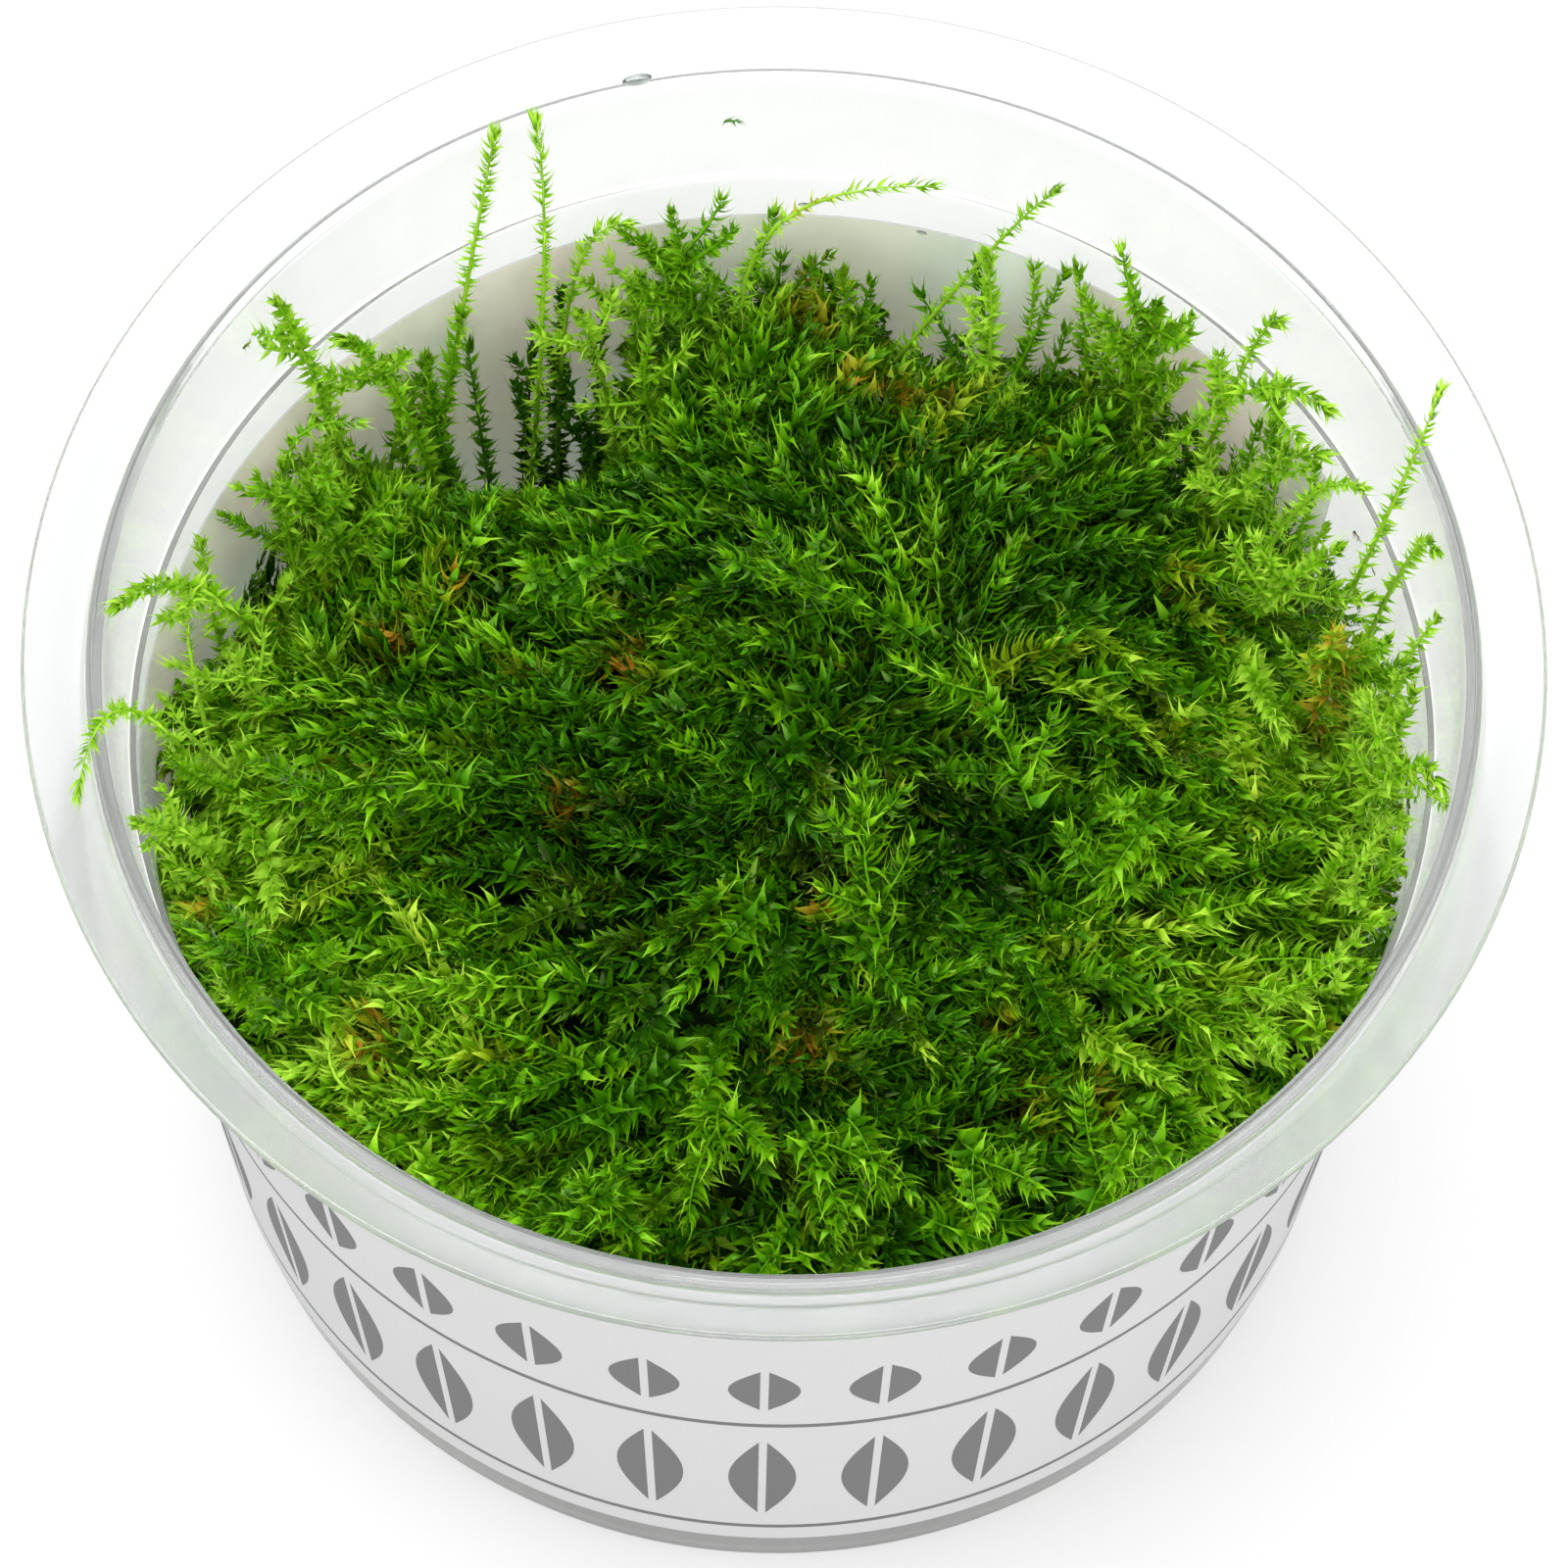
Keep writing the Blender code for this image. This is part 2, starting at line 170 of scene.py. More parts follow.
# Each shoot that stands clear: kind, then foot (azimuth, radius), middle and tip (azimuth,
# radius, height), in degrees and millimetres, as its solid has them
STANDING_SHOOTS = {
    "shoot_tall_outer": ("thin", (131.5, 39.3), (123.6, 40.4, 54.6), (119, 42.6, 64.4)),
    "shoot_tall_inner": ("thin", (121.3, 37), (117.8, 37.3, 52.3), (115, 42.4, 64.6)),
    "shoot_back_leaning": ("thin", (117, 38), (113.2, 40.2, 45.1), (107.1, 39.5, 52.9)),
    "shoot_left_fork_long": ("plain", (140, 40), (142.5, 41.6, 52.5), (144, 43.2, 61.5)),
    "shoot_left_fork_short": ("plain", (132, 36), (137, 38, 50.5), (141, 39.5, 57.5)),
    "shoot_left_arching": ("thin", (149, 40), (149, 40.2, 49.5), (144, 36.5, 52.5)),
    "shoot_back_stub": ("plain", (112, 33.5), (113, 34.8, 43.5), (115, 35.3, 50.5)),
    "shoot_back_dark": ("plain", (108, 30), (109, 31.8, 43.5), (107, 33.3, 49.5)),
    "tuft_back_tall": ("bushy", (101, 35.5), (101.5, 37, 47.5), (103, 38.5, 55.5)),
    "tuft_back_short": ("plain", (108, 38), (107, 38, 44.5), (107, 36.6, 50.5)),
    "shoot_back_diagonal": ("thin", (96, 36), (92, 38.2, 52.8), (76.3, 39.5, 58)),
    "shoot_back_right_long": ("thin", (80, 36.5), (71, 38.6, 50.8), (64, 40.4, 61.2)),
    "shoot_back_right_branch": ("plain", (67, 34), (66.5, 34.3, 50.5), (68, 34.9, 58.5)),
    "tuft_right_back": ("bushy", (54, 38), (52, 39, 49.5), (50, 38.7, 57.5)),
    "shoot_right_thin": ("thin", (44, 39.5), (41, 41.2, 54.5), (39, 42.2, 60.5)),
    "shoot_right_long": ("plain", (47, 37), (38, 38.6, 55.5), (28, 40.7, 61.5)),
    "shoot_right_short": ("plain", (36, 37), (31, 37.8, 52.5), (27, 40.3, 57)),
    "shoot_over_rim_right": ("thin", (20, 40), (19, 42.8, 57.5), (23, 46.8, 65.5)),
    "shoot_right_crossing": ("thin", (28, 36.5), (24.5, 38.2, 54.5), (18, 40, 62.5)),
    "shoot_right_hooked": ("thin", (13.5, 40), (14, 42.6, 55.5), (11, 43.6, 61.5)),
    "shoot_right_slanting": ("plain", (22, 34), (19, 35.5, 50.5), (16, 38.5, 57.5)),
    "tuft_right": ("bushy", (7, 36), (6.5, 37.2, 50.5), (6, 38.5, 57)),
    "shoot_right_low": ("thin", (6, 40), (6, 41.8, 53), (5, 43.2, 60.5)),
    "shoot_right_upright": ("plain", (358.5, 39), (359, 40.6, 50), (0, 41.7, 57.5)),
    "shoot_right_front": ("plain", (353, 38), (352.5, 41, 56), (349, 43.8, 59.5)),
    "shoot_left_reaching": ("plain", (160.5, 37.5), (170.3, 40.2, 54.6), (179, 43.8, 62.8)),
    "shoot_left_upright": ("thin", (180, 39), (175.5, 40, 50.9), (170.8, 40.9, 51.4)),
    "shoot_over_rim_left": ("thin", (183, 39), (189, 43.2, 62.5), (197, 47.3, 63.8)),
    "shoot_left_dark": ("plain", (175, 34.5), (175.5, 36, 47.5), (174.5, 37, 51.5)),
    "shoot_left_low": ("plain", (194, 38), (196.5, 41, 54.5), (198, 43.9, 59.5)),
    "tuft_left": ("bushy", (152, 34), (153, 35.5, 47.5), (154, 36.5, 53.5)),
    "frond_centre_back": ("frond", (62, 6), (88, 8.3, 57), (102, 11.2, 59)),
    "frond_left_back": ("frond", (160, 21), (148, 15.7, 56.5), (136, 12.9, 58.5)),
    "frond_left": ("frond", (200, 21.5), (199, 29.7, 56), (195, 36.5, 55)),
    "frond_left_front": ("frond", (222, 34.5), (214, 39, 55), (207, 43, 56.5)),
    "frond_front": ("frond", (246, 38.5), (252, 39.4, 55.5), (257, 39.2, 58.5)),
    "frond_centre": ("frond", (286, 18), (293, 14.7, 57.5), (298, 10.2, 59)),
    "frond_right": ("frond", (325, 25.4), (333, 25.2, 57), (342, 26.6, 57.5)),
}

# Stretches of the wall that shoots climb: from and to azimuth, how many, the lowest and
# highest that their tips reach in mm, and their tone
CLIMBING_STRETCHES = (
    (328, 352, 13, 50, 56, 0.84), (352, 366, 7, 47, 56, 0.84), (384, 420, 12, 44, 55, 0.78),
    (184, 232, 18, 49, 56, 0.84), (142, 170, 12, 42, 52, 0.80), (122, 148, 15, 40, 50, 0.70),
    (103, 122, 7, 38, 45, 0.50), (48, 76, 10, 41, 49, 0.64), (82, 104, 10, 41, 49, 0.62),
)

# Water drops on the plastic: azimuth, radius and height of the middle, and length in mm
DROPS = ((104.3, 45.5, 61.6, 2.1), (89.3, 43.2, 47.9, 0.9), (78.1, 43.1, 46.3, 0.8),
         (70.5, 43.2, 49.0, 0.6), (20.5, 43.1, 47.0, 0.8))

# A drop's depth and height against its length, and how flat its back is against the plastic
DROP_DEPTH, DROP_HEIGHT = 0.35, 0.6
DROP_BACK = 0.1

# Scraps of moss stuck to the plastic: azimuth, radius, height and length in mm, and age
SCRAPS = ((96.0, 44.55, 56.5, 1.1, 0.0), (24.0, 43.1, 47.6, 1.0, 0.7),
          (27.3, 42.9, 40.5, 0.9, 0.5), (146.5, 44.55, 57.1, 0.8, 0.2))

# How far a scrap turns from lying round the plastic, its tone, and its size against a shoot's
SCRAP_TURN = 0.15
SCRAP_TONE = 0.45
SCRAP_SIZE = 0.5

# How the growing direction drifts over the mound: how far, in degrees, and over what distance
DRIFT = 38
DRIFT_LENGTH = 9 * MM

# Long fronds that lie on the mound, by their foot and tip (azimuth, radius, height), how far they
# arch, and how much brighter they are than the other fronds
LAID_FRONDS = (
    ((257, 38.7, 55.5), (247, 41.6, 53.5)), ((264, 31.3, 56.5), (266, 35.0, 55.5)),
    ((272.6, 32.9, 56.5), (277.1, 39.0, 54.5)), ((278.7, 32.3, 56.5), (281, 37.7, 55.5)),
    ((290, 35.1, 56), (290.2, 40.0, 54)), ((308, 38.5, 55.5), (303.4, 40.6, 54)),
    ((299, 42.0, 53.5), (306.3, 41.6, 54.5)), ((342, 26.6, 56.5), (324, 26, 57)),
    ((208.5, 42.0, 53), (224.4, 38.1, 55.5)), ((203, 22.2, 56.5), (197, 36.0, 55.5)),
    ((289.5, 20.5, 57), (309, 9.3, 58)), ((330, 19, 57), (10, 12, 58)),
)
LAID_ARCH = 1.0 * MM
LAID_BRIGHTENING = 0.10

# How far back from its middle a shoot on the mound roots, as a share of its length
FOOT_SHIFT = 0.35

# How each kind of shoot is leafed: leaf length in mm, breadth against the plain leaf, spacing
# in mm, spread in degrees, curl towards the shoot's tip, the share of leaves in two flat rows,
# the share crowded at the tip, the size of those at the tip, and how much the leaves crowd near
# the foot; then its stem's radius in mm, sides and stations, its tone from dark to bright, and
# how much brighter its stem is
Kind = namedtuple("Kind", "leaf breadth spacing spread curl flat cluster tip crowding "
                          "stem tube tone stem_tone")
# The kinds that lie deep in the mound have a lower tone, as painted shade
KINDS = {
    "thin": Kind(1.10, 0.58, 0.15, 78, 0.50, 0.4, 0.07, 1.2, 1.3, 0.18, (6, 9), 0.88, 0.05),
    "plain": Kind(1.35, 0.80, 0.14, 78, 0.55, 0.3, 0.06, 1.1, 1.1, 0.20, (5, 7), 0.82, 0.02),
    "bushy": Kind(1.45, 0.85, 0.13, 78, 0.55, 0.3, 0.04, 0.9, 1.0, 0.20, (4, 6), 0.72, 0.0),
    "frond": Kind(1.70, 1.15, 0.13, 80, 0.70, 0.65, 0.02, 0.7, 1.0, 0.12, (4, 6), 0.54, 0.0),
    "cover": Kind(1.55, 1.05, 0.15, 80, 0.70, 0.65, 0.02, 0.7, 1.0, 0.12, (3, 5), 0.38, 0.0),
    "under": Kind(1.80, 1.2, 0.21, 70, 0.40, 0.4, 0.0, 0.7, 1.0, 0.17, (3, 3), 0.32, 0.0),
}

# How much thinner a stem gets towards its tip, how much its leaves close up there, and how much
# larger they are at its foot
STEM_TAPER = 0.9
TIP_CLOSING = 0.66
FOOT_GROWTH = 0.3

# How leaves differ from each other: their place, the start of the crowd at the tip, how far they
# stray from their row, spread in degrees, twist in the rows and outside them, size, curl, sway,
# breadth and age, and how their tone changes from leaf to leaf, along the shoot and the leaf
LEAF_JITTER = 0.3
CLUSTER_START = 0.95
ROW_SCATTER = 0.3
SPREAD_SCATTER = 11
FLAT_TWIST = (0.05, 0.8)
LOOSE_TWIST = 0.6
LEAF_SIZES = (0.75, 1.12)
CURL_SCATTER = 0.22
SWAY_SCATTER = 0.12
LEAF_BREADTHS = (0.8, 1.2)
AGE_SPREAD = (-0.2, 1.2)
LEAF_TONE_SCATTER = 0.08
TONE_ALONG_SHOOT = 0.14
# Along a leaf the tone rises to a pale tip: partly the leaf's own colour, partly a painted highlight
TONE_ALONG_LEAF = 0.38

# The layers of the mound: name, kind of shoot, number of pieces, shoots, their length in mm,
# how deep they root and how steeply they leave, and the faces that they grow from
MOSS_LAYERS = (
    ("deep", "under", 1, 1200, 7.0, 2.2, 0.8, "top"),
    ("flank", "under", 1, 700, 6.0, 1.5, 0.1, "flank"),
    ("cover", "cover", 2, 780, 9.0, 1.5, 0.45, "top"),
    ("fronds", "frond", 2, 270, 12.0, 0.6, 0.5, "top"),
)

# How far apart the layer of fronds roots
FROND_GAP = 3.0 * MM

# The way that most flat rows of leaves face: up and to the front
TOWARDS_EYE = np.array((0.0, -0.47, 0.88))

# How deep a standing shoot roots in mm, and how many branches each kind has
STANDING_SINK = 0.5
BRANCHES = {"thin": 0, "plain": 3, "frond": 2, "bushy": 13}

# A branch: where on its shoot it starts, how far it reaches in mm, its weights along the shoot and
# aside, how far it strays and bows, and its size and brightness against the shoot's
BRANCH_PLACES = (0.1, 0.75)
BRANCH_REACH = (3.0, 6.5)
BRANCH_ONWARD = 0.8
BRANCH_ASIDE = (0.5, 0.9)
BRANCH_STRAY = 0.25
BRANCH_BOW = 0.08
BRANCH_SIZE = 0.9
BRANCH_BRIGHTENING = 0.03

# How a shoot on the mound turns: its weights outwards and aside as it leaves, and on, outwards,
# aside and down towards its tip
LEAVE_OUTWARD, LEAVE_ASIDE = 0.8, 0.4
TIP_ONWARD, TIP_OUTWARD, TIP_ASIDE, TIP_DROOP = 0.3, 0.8, 0.45, 0.15

# How shoots on the mound differ: in length, tone, age (middle, scatter and most), size, and how
# much of the clearance their tips may take and their middles may take more than that
SHOOT_LENGTHS = (0.6, 1.3)
SHOOT_TONE_SCATTER = 0.10
SHOOT_AGE, SHOOT_AGE_SCATTER, SHOOT_OLDEST = -0.09, 0.12, 0.4
SHOOT_SIZES = (0.85, 1.12)
TIP_CLEARANCES = (0.3, 1.1)
ARCH_CLEARANCE = 0.4

# The ring where the shoots that climb the wall root, the ring that their tips reach, how far
# round their tips stray in degrees, how far out they bow in mm, and how they differ in tone, in
# the way that their rows face and in size
CLIMB_FOOT_RADIUS = (35, 39.3)
CLIMB_TIP_RADIUS = (38.5, 42.5)
CLIMB_STRAY = 5
CLIMB_BOW = 1.2
CLIMB_TONE_SCATTER = 0.08
CLIMB_FACE_SCATTER = 0.3
CLIMB_SIZES = (0.85, 1.1)


def deselect_all():
    for thing in bpy.context.selected_objects:
        thing.select_set(False)


def select_verts(thing, wanted):
    """In edit mode, select only the vertices whose place passes the test."""
    built = bmesh.from_edit_mesh(thing.data)
    for vert in built.verts:
        vert.select = bool(wanted(vert.co))
    built.select_flush(True)
    built.select_flush(False)
    bmesh.update_edit_mesh(thing.data)


def settle(thing):
    """Leave the piece at the origin, unturned and unscaled, with its place in its mesh."""
    deselect_all()
    thing.select_set(True)
    bpy.context.view_layer.objects.active = thing
    bpy.ops.object.transform_apply(location=True, rotation=True, scale=True)


def apply_all_modifiers(thing):
    bpy.context.view_layer.objects.active = thing
    for modifier in list(thing.modifiers):
        bpy.ops.object.modifier_apply(modifier=modifier.name)


def polar(azimuth, radius, height=0.0):
    turn = math.radians(azimuth)
    return Vector((radius * math.cos(turn), radius * math.sin(turn), height))


def spot(azimuth, radius, height=0.0):
    """A place given in degrees and millimetres."""
    return np.array(polar(azimuth, radius * MM, height * MM))


def closeness(places, azimuth, radius, reach, steepness):
    """How near places are to a spot as seen from above, from 0 to 1."""
    centre = spot(azimuth, radius)
    distance = np.hypot(places[:, 0] - centre[0], places[:, 1] - centre[1])
    return np.exp(-(distance / (reach * MM)) ** steepness)


def blend(low, high, share):
    return low + (high - low) * share


def outer_wall_radius(height):
    share = (height - WALL_FOOT_HEIGHT) / (WALL_TOP_HEIGHT - WALL_FOOT_HEIGHT)
    return blend(WALL_FOOT_RADIUS, WALL_TOP_RADIUS, share)


# Materials

def new_material(name, values):
    """A material whose shader has the given sockets set."""
    made = bpy.data.materials.new(name)
    made.use_nodes = True
    shader = made.node_tree.nodes["Principled BSDF"]
    for socket, value in values.items():
        shader.inputs[socket].default_value = value
    return made, made.node_tree, shader


def link(tree, source, target):
    tree.links.new(source, target)


def maths(tree, operation, *values):
    """A math node on numbers or other nodes' outputs, and its result."""
    node = tree.nodes.new("ShaderNodeMath")
    node.operation = operation
    for socket, value in zip(node.inputs, values):
        if isinstance(value, (int, float)):
            socket.default_value = value
        else:
            link(tree, value, socket)
    return node.outputs["Value"]


def ramp(tree, amount, stops):
    """The colour that a value has on a ramp of stops."""
    node = tree.nodes.new("ShaderNodeValToRGB")
    elements = node.color_ramp.elements
    while len(elements) < len(stops):
        elements.new(1.0)
    for element, (position, colour) in zip(elements, stops):
        element.position = position
        element.color = (*colour, 1)
    link(tree, amount, node.inputs["Fac"])
    return node.outputs["Color"]


def mixed(tree, amount, first, second):
    """One colour towards another, each given as a colour or as another node's output."""
    node = tree.nodes.new("ShaderNodeMix")
    node.data_type = "RGBA"
    link(tree, amount, node.inputs["Factor"])
    for socket, colour in (("A", first), ("B", second)):
        if isinstance(colour, tuple):
            node.inputs[socket].default_value = (*colour, 1)
        else:
            link(tree, colour, node.inputs[socket])
    return node.outputs["Result"]


def object_place(tree):
    """Where a point lies on the finished piece, as X, Y and Z."""
    place = tree.nodes.new("ShaderNodeTexCoord")
    parts = tree.nodes.new("ShaderNodeSeparateXYZ")
    link(tree, place.outputs["Object"], parts.inputs["Vector"])
    return parts.outputs


def noise(tree, scale, detail):
    """Noise that lies fixed on the finished piece."""
    place = tree.nodes.new("ShaderNodeTexCoord")
    node = tree.nodes.new("ShaderNodeTexNoise")
    node.inputs["Scale"].default_value = scale
    node.inputs["Detail"].default_value = detail
    link(tree, place.outputs["Object"], node.inputs["Vector"])
    return node.outputs["Fac"]


def let_shadow_rays_pass(tree, shader, held_back):
    """Let most light through to what the clear wall covers, so that it is not in shadow."""
    shadow = tree.nodes.new("ShaderNodeLightPath").outputs["Is Shadow Ray"]
    link(tree, maths(tree, "MULTIPLY_ADD", shadow, held_back - 1, 1), shader.inputs["Alpha"])


def clear_plastic():
    """See-through polypropylene: clear up the wall and faintly frosted at the rim, with painted
    shade in its colour, dark at the foot and grey from the bead up.
    """
    made, tree, shader = new_material("clear_plastic", {"IOR": 1.45, "Transmission Weight": 0.88})
    height = maths(tree, "DIVIDE", object_place(tree)["Z"], CUP_HEIGHT)
    foot = (LABEL_BOTTOM + MM) / CUP_HEIGHT
    shoulder = (WALL_TOP_HEIGHT + SHOULDER_LAG) / CUP_HEIGHT
    neck = (NECK_HEIGHT + SHOULDER_LAG) / CUP_HEIGHT
    bead = BEAD_BASE / CUP_HEIGHT
    haze = ramp(tree, height, ((0, (0.07,) * 3), (neck, (0.07,) * 3), (bead, (0.14,) * 3)))
    # Painted shade: dark at the foot for the shaded moss seen through it, grey from the bead up for
    # the dark line at the bead's corner and the shade behind the flange
    tint = ramp(tree, height, (
        (0, (0.17, 0.175, 0.155)), (foot, (0.17, 0.175, 0.155)),
        (foot + 0.01, (0.965, 0.975, 0.965)), (shoulder, (0.965, 0.975, 0.965)),
        (neck, (0.99, 0.995, 0.99)), (bead - 0.01, (0.97, 0.975, 0.97)),
        (bead, (0.85, 0.865, 0.87)), (1, (0.90, 0.91, 0.915))))
    link(tree, haze, shader.inputs["Roughness"])
    link(tree, tint, shader.inputs["Base Color"])
    let_shadow_rays_pass(tree, shader, 0.2)
    return made


def label_outside():
    """White paper with two rows of small grey leaves and two thin lines printed on it."""
    made, tree, shader = new_material("label_outside", {"Roughness": 0.6,
                                                        "Specular IOR Level": 0.3})
    place = object_place(tree)
    around = maths(tree, "ARCTAN2", place["Y"], place["X"])
    column = maths(tree, "FRACT", maths(tree, "MULTIPLY_ADD", around, PRINTED_LEAVES / math.tau,
                                        PRINTED_LEAVES))
    across = maths(tree, "ABSOLUTE", maths(tree, "SUBTRACT", column, 0.5))
    beside_rib = maths(tree, "GREATER_THAN", across, PRINT_RIB)
    marks = []
    for bottom, height in PRINT_ROWS:
        along = maths(tree, "DIVIDE", maths(tree, "SUBTRACT", place["Z"], bottom), height)
        inside = maths(tree, "COMPARE", along, 0.5, 0.5)
        wave = maths(tree, "SINE", maths(tree, "MULTIPLY", along, math.pi))
        bulge = maths(tree, "MULTIPLY", wave, PRINT_BULGE)
        blade = maths(tree, "MULTIPLY", maths(tree, "LESS_THAN", across, bulge), inside)
        marks.append(maths(tree, "MULTIPLY", blade, beside_rib))
    for level in PRINT_LINES:
        marks.append(maths(tree, "COMPARE", place["Z"], level, LINE_HALF_WIDTH))
    print_mask = marks[0]
    for mark in marks[1:]:
        print_mask = maths(tree, "MAXIMUM", print_mask, mark)
    ink = maths(tree, "MULTIPLY", print_mask, INK_STRENGTH)
    link(tree, mixed(tree, ink, (0.54, 0.54, 0.54), (0.085, 0.085, 0.085)),
         shader.inputs["Base Color"])
    return made


def label_inside():
    """The back of the paper, seen through the wall: tinted green, beige and pink in patches, the
    green partly painted light bounced off the moss, and given a painted glow for the light that
    comes through the paper from outside."""
    made, tree, shader = new_material("label_inside", {"Roughness": 0.9,
                                                       "Emission Strength": 0.38})
    # The green in these patches is partly painted light, bounced off the moss
    tint = ramp(tree, noise(tree, 45, 1), (
        (0.30, (0.74, 0.66, 0.56)), (0.45, (0.66, 0.66, 0.52)),
        (0.60, (0.64, 0.72, 0.60)), (0.75, (0.72, 0.76, 0.70))))
    link(tree, tint, shader.inputs["Base Color"])
    # The same colours glow as painted light, for the light coming through the paper
    link(tree, tint, shader.inputs["Emission Color"])
    return made


def clear_water():
    """A clear drop, given a grey tint as painted shade so that it looks a little darker than the
    pale plastic behind it.
    """
    made, tree, shader = new_material("clear_water", {"Roughness": 0.02, "IOR": 1.33,
                                                      "Transmission Weight": 1.0})
    # Painted shade: a grey tint in place of the darkening that the drop's bent light gives
    tint = ramp(tree, noise(tree, 900, 2), ((0.3, (0.55, 0.58, 0.58)), (0.7, (0.80, 0.83, 0.82))))
    link(tree, tint, shader.inputs["Base Color"])
    return made


def moss_leaf():
    """Leaf and stem colours from two values that each vertex carries: its tone and its age."""
    made, tree, shader = new_material("moss_leaf", {
        "Roughness": 0.25, "Specular IOR Level": 0.36, "Specular Tint": (0.70, 1.0, 0.30, 1)})
    tone = tree.nodes.new("ShaderNodeAttribute")
    tone.attribute_name = "tone"
    age = tree.nodes.new("ShaderNodeAttribute")
    age.attribute_name = "age"
    green = ramp(tree, tone.outputs["Fac"], (
        (0.0, (0.003, 0.014, 0.0005)), (0.3, (0.014, 0.080, 0.0008)),
        (0.55, (0.050, 0.208, 0.0012)), (0.8, (0.175, 0.440, 0.004)),
        (1.0, (0.400, 0.690, 0.045))))
    brown = ramp(tree, tone.outputs["Fac"], (
        (0.0, (0.05, 0.022, 0.002)), (0.5, (0.34, 0.13, 0.008)), (1.0, (0.75, 0.42, 0.03))))
    link(tree, mixed(tree, age.outputs["Fac"], green, brown), shader.inputs["Base Color"])
    return made


def moss_shade():
    """The inside of the tangle, seen only through gaps: its dark green taken to near black as
    painted shade.
    """
    made, tree, shader = new_material("moss_shade", {"Roughness": 0.8,
                                                     "Specular IOR Level": 0.1})
    # Painted shade: near-black greens for the shadow deep in the tangle
    shade = ramp(tree, noise(tree, 700, 4), (
        (0.35, (0.003, 0.006, 0.001)), (0.55, (0.012, 0.035, 0.003)),
        (0.75, (0.040, 0.070, 0.008))))
    link(tree, shade, shader.inputs["Base Color"])
    return made


def floor_white():
    """A white table, lit a little from below as well as from above."""
    return new_material("floor_white", {
        "Base Color": (0.35, 0.35, 0.35, 1), "Roughness": 0.9, "Specular IOR Level": 0.1,
        "Emission Color": (1, 1, 1, 1), "Emission Strength": 0.58})[0]


# The cup and its label

def bead_top():
    """The bead's round top, from the flange in to the sharp edge at the wall."""
    places = []
    for step in range(BEAD_STEPS + 1):
        across = 1 - 2 * step / BEAD_STEPS
        rise = BEAD_RISE * (1 - across ** 2)
        places.append((BEAD_RADIUS + across * BEAD_WIDTH / 2, BEAD_BASE + rise))
    return places


def cup_outline():
    """The cup's section, from its underside up the outside and down the inside."""
    foot_inner = FOOT_RADIUS - FOOT_WIDTH
    bead_foot = BEAD_RADIUS + BEAD_WIDTH / 2
    flange_root = BEAD_BASE - FLANGE_THICKNESS
    edge_start = RIM_RADIUS - EDGE_ROUND
    ledge_height = WALL_TOP_HEIGHT + SHOULDER_LAG
    outside = [
        (foot_inner - FOOT_RECESS, FOOT_RECESS),
        (foot_inner, 0.0),
        (FOOT_RADIUS, 0.0),
        (blend(FOOT_RADIUS, WALL_FOOT_RADIUS, 0.7), WALL_FOOT_HEIGHT * 0.3),
        (WALL_FOOT_RADIUS, WALL_FOOT_HEIGHT),
        (WALL_TOP_RADIUS, WALL_TOP_HEIGHT),
        (WALL_TOP_RADIUS + LEDGE_WIDTH, WALL_TOP_HEIGHT + LEDGE_RISE),
        (NECK_RADIUS, NECK_HEIGHT),
        (bead_foot, flange_root - FLANGE_THICKNESS),
        (bead_foot + FLANGE_THICKNESS, flange_root),
        (edge_start, CUP_HEIGHT - FLANGE_THICKNESS),
        (RIM_RADIUS, CUP_HEIGHT - FLANGE_THICKNESS / 2),
    ]
    inside = [
        (edge_start, CUP_HEIGHT),
        *bead_top(),
        (NECK_RADIUS - WALL, NECK_HEIGHT + SHOULDER_LAG),
        (WALL_TOP_RADIUS - WALL + LEDGE_WIDTH, ledge_height + LEDGE_RISE),
        (WALL_TOP_RADIUS - WALL, ledge_height),
        (WALL_FOOT_RADIUS - WALL, FLOOR_HEIGHT + WALL_FOOT_HEIGHT * 0.8),
        (FOOT_RADIUS - WALL, FLOOR_HEIGHT),
    ]
    return outside + inside


def make_cup(plastic):
    """A disc whose rim is extruded ring by ring round the cup's section."""
    outline = cup_outline()
    radius, height = outline[0]
    deselect_all()
    bpy.ops.mesh.primitive_circle_add(vertices=CUP_SIDES, radius=radius, fill_type="NGON",
                                      location=(0, 0, height))
    cup = bpy.context.object
    cup.name = "cup_shell"
    settle(cup)
    bpy.ops.object.mode_set(mode="EDIT")
    bpy.ops.mesh.select_all(action="SELECT")
    for next_radius, next_height in outline[1:]:
        lift = next_height - height
        bpy.ops.mesh.extrude_region_move(TRANSFORM_OT_translate={"value": (0, 0, lift)})
        scale = next_radius / radius
        bpy.ops.transform.resize(value=(scale, scale, 1), center_override=(0, 0, next_height))
        radius, height = next_radius, next_height
    bpy.ops.mesh.select_all(action="SELECT")
    bpy.ops.mesh.normals_make_consistent(inside=False)
    bpy.ops.object.mode_set(mode="OBJECT")
    bevel = cup.modifiers.new("rounded_edges", "BEVEL")
    bevel.width = EDGE_BEVEL
    bevel.segments = BEVEL_STEPS
    bevel.limit_method = "ANGLE"
    bevel.angle_limit = math.radians(BEVEL_ANGLE)
    apply_all_modifiers(cup)
    bpy.ops.object.shade_smooth_by_angle(angle=math.radians(CUP_SMOOTH_ANGLE))
    cup.data.materials.append(plastic)
    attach(cup, "root")
    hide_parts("cup")
    return cup


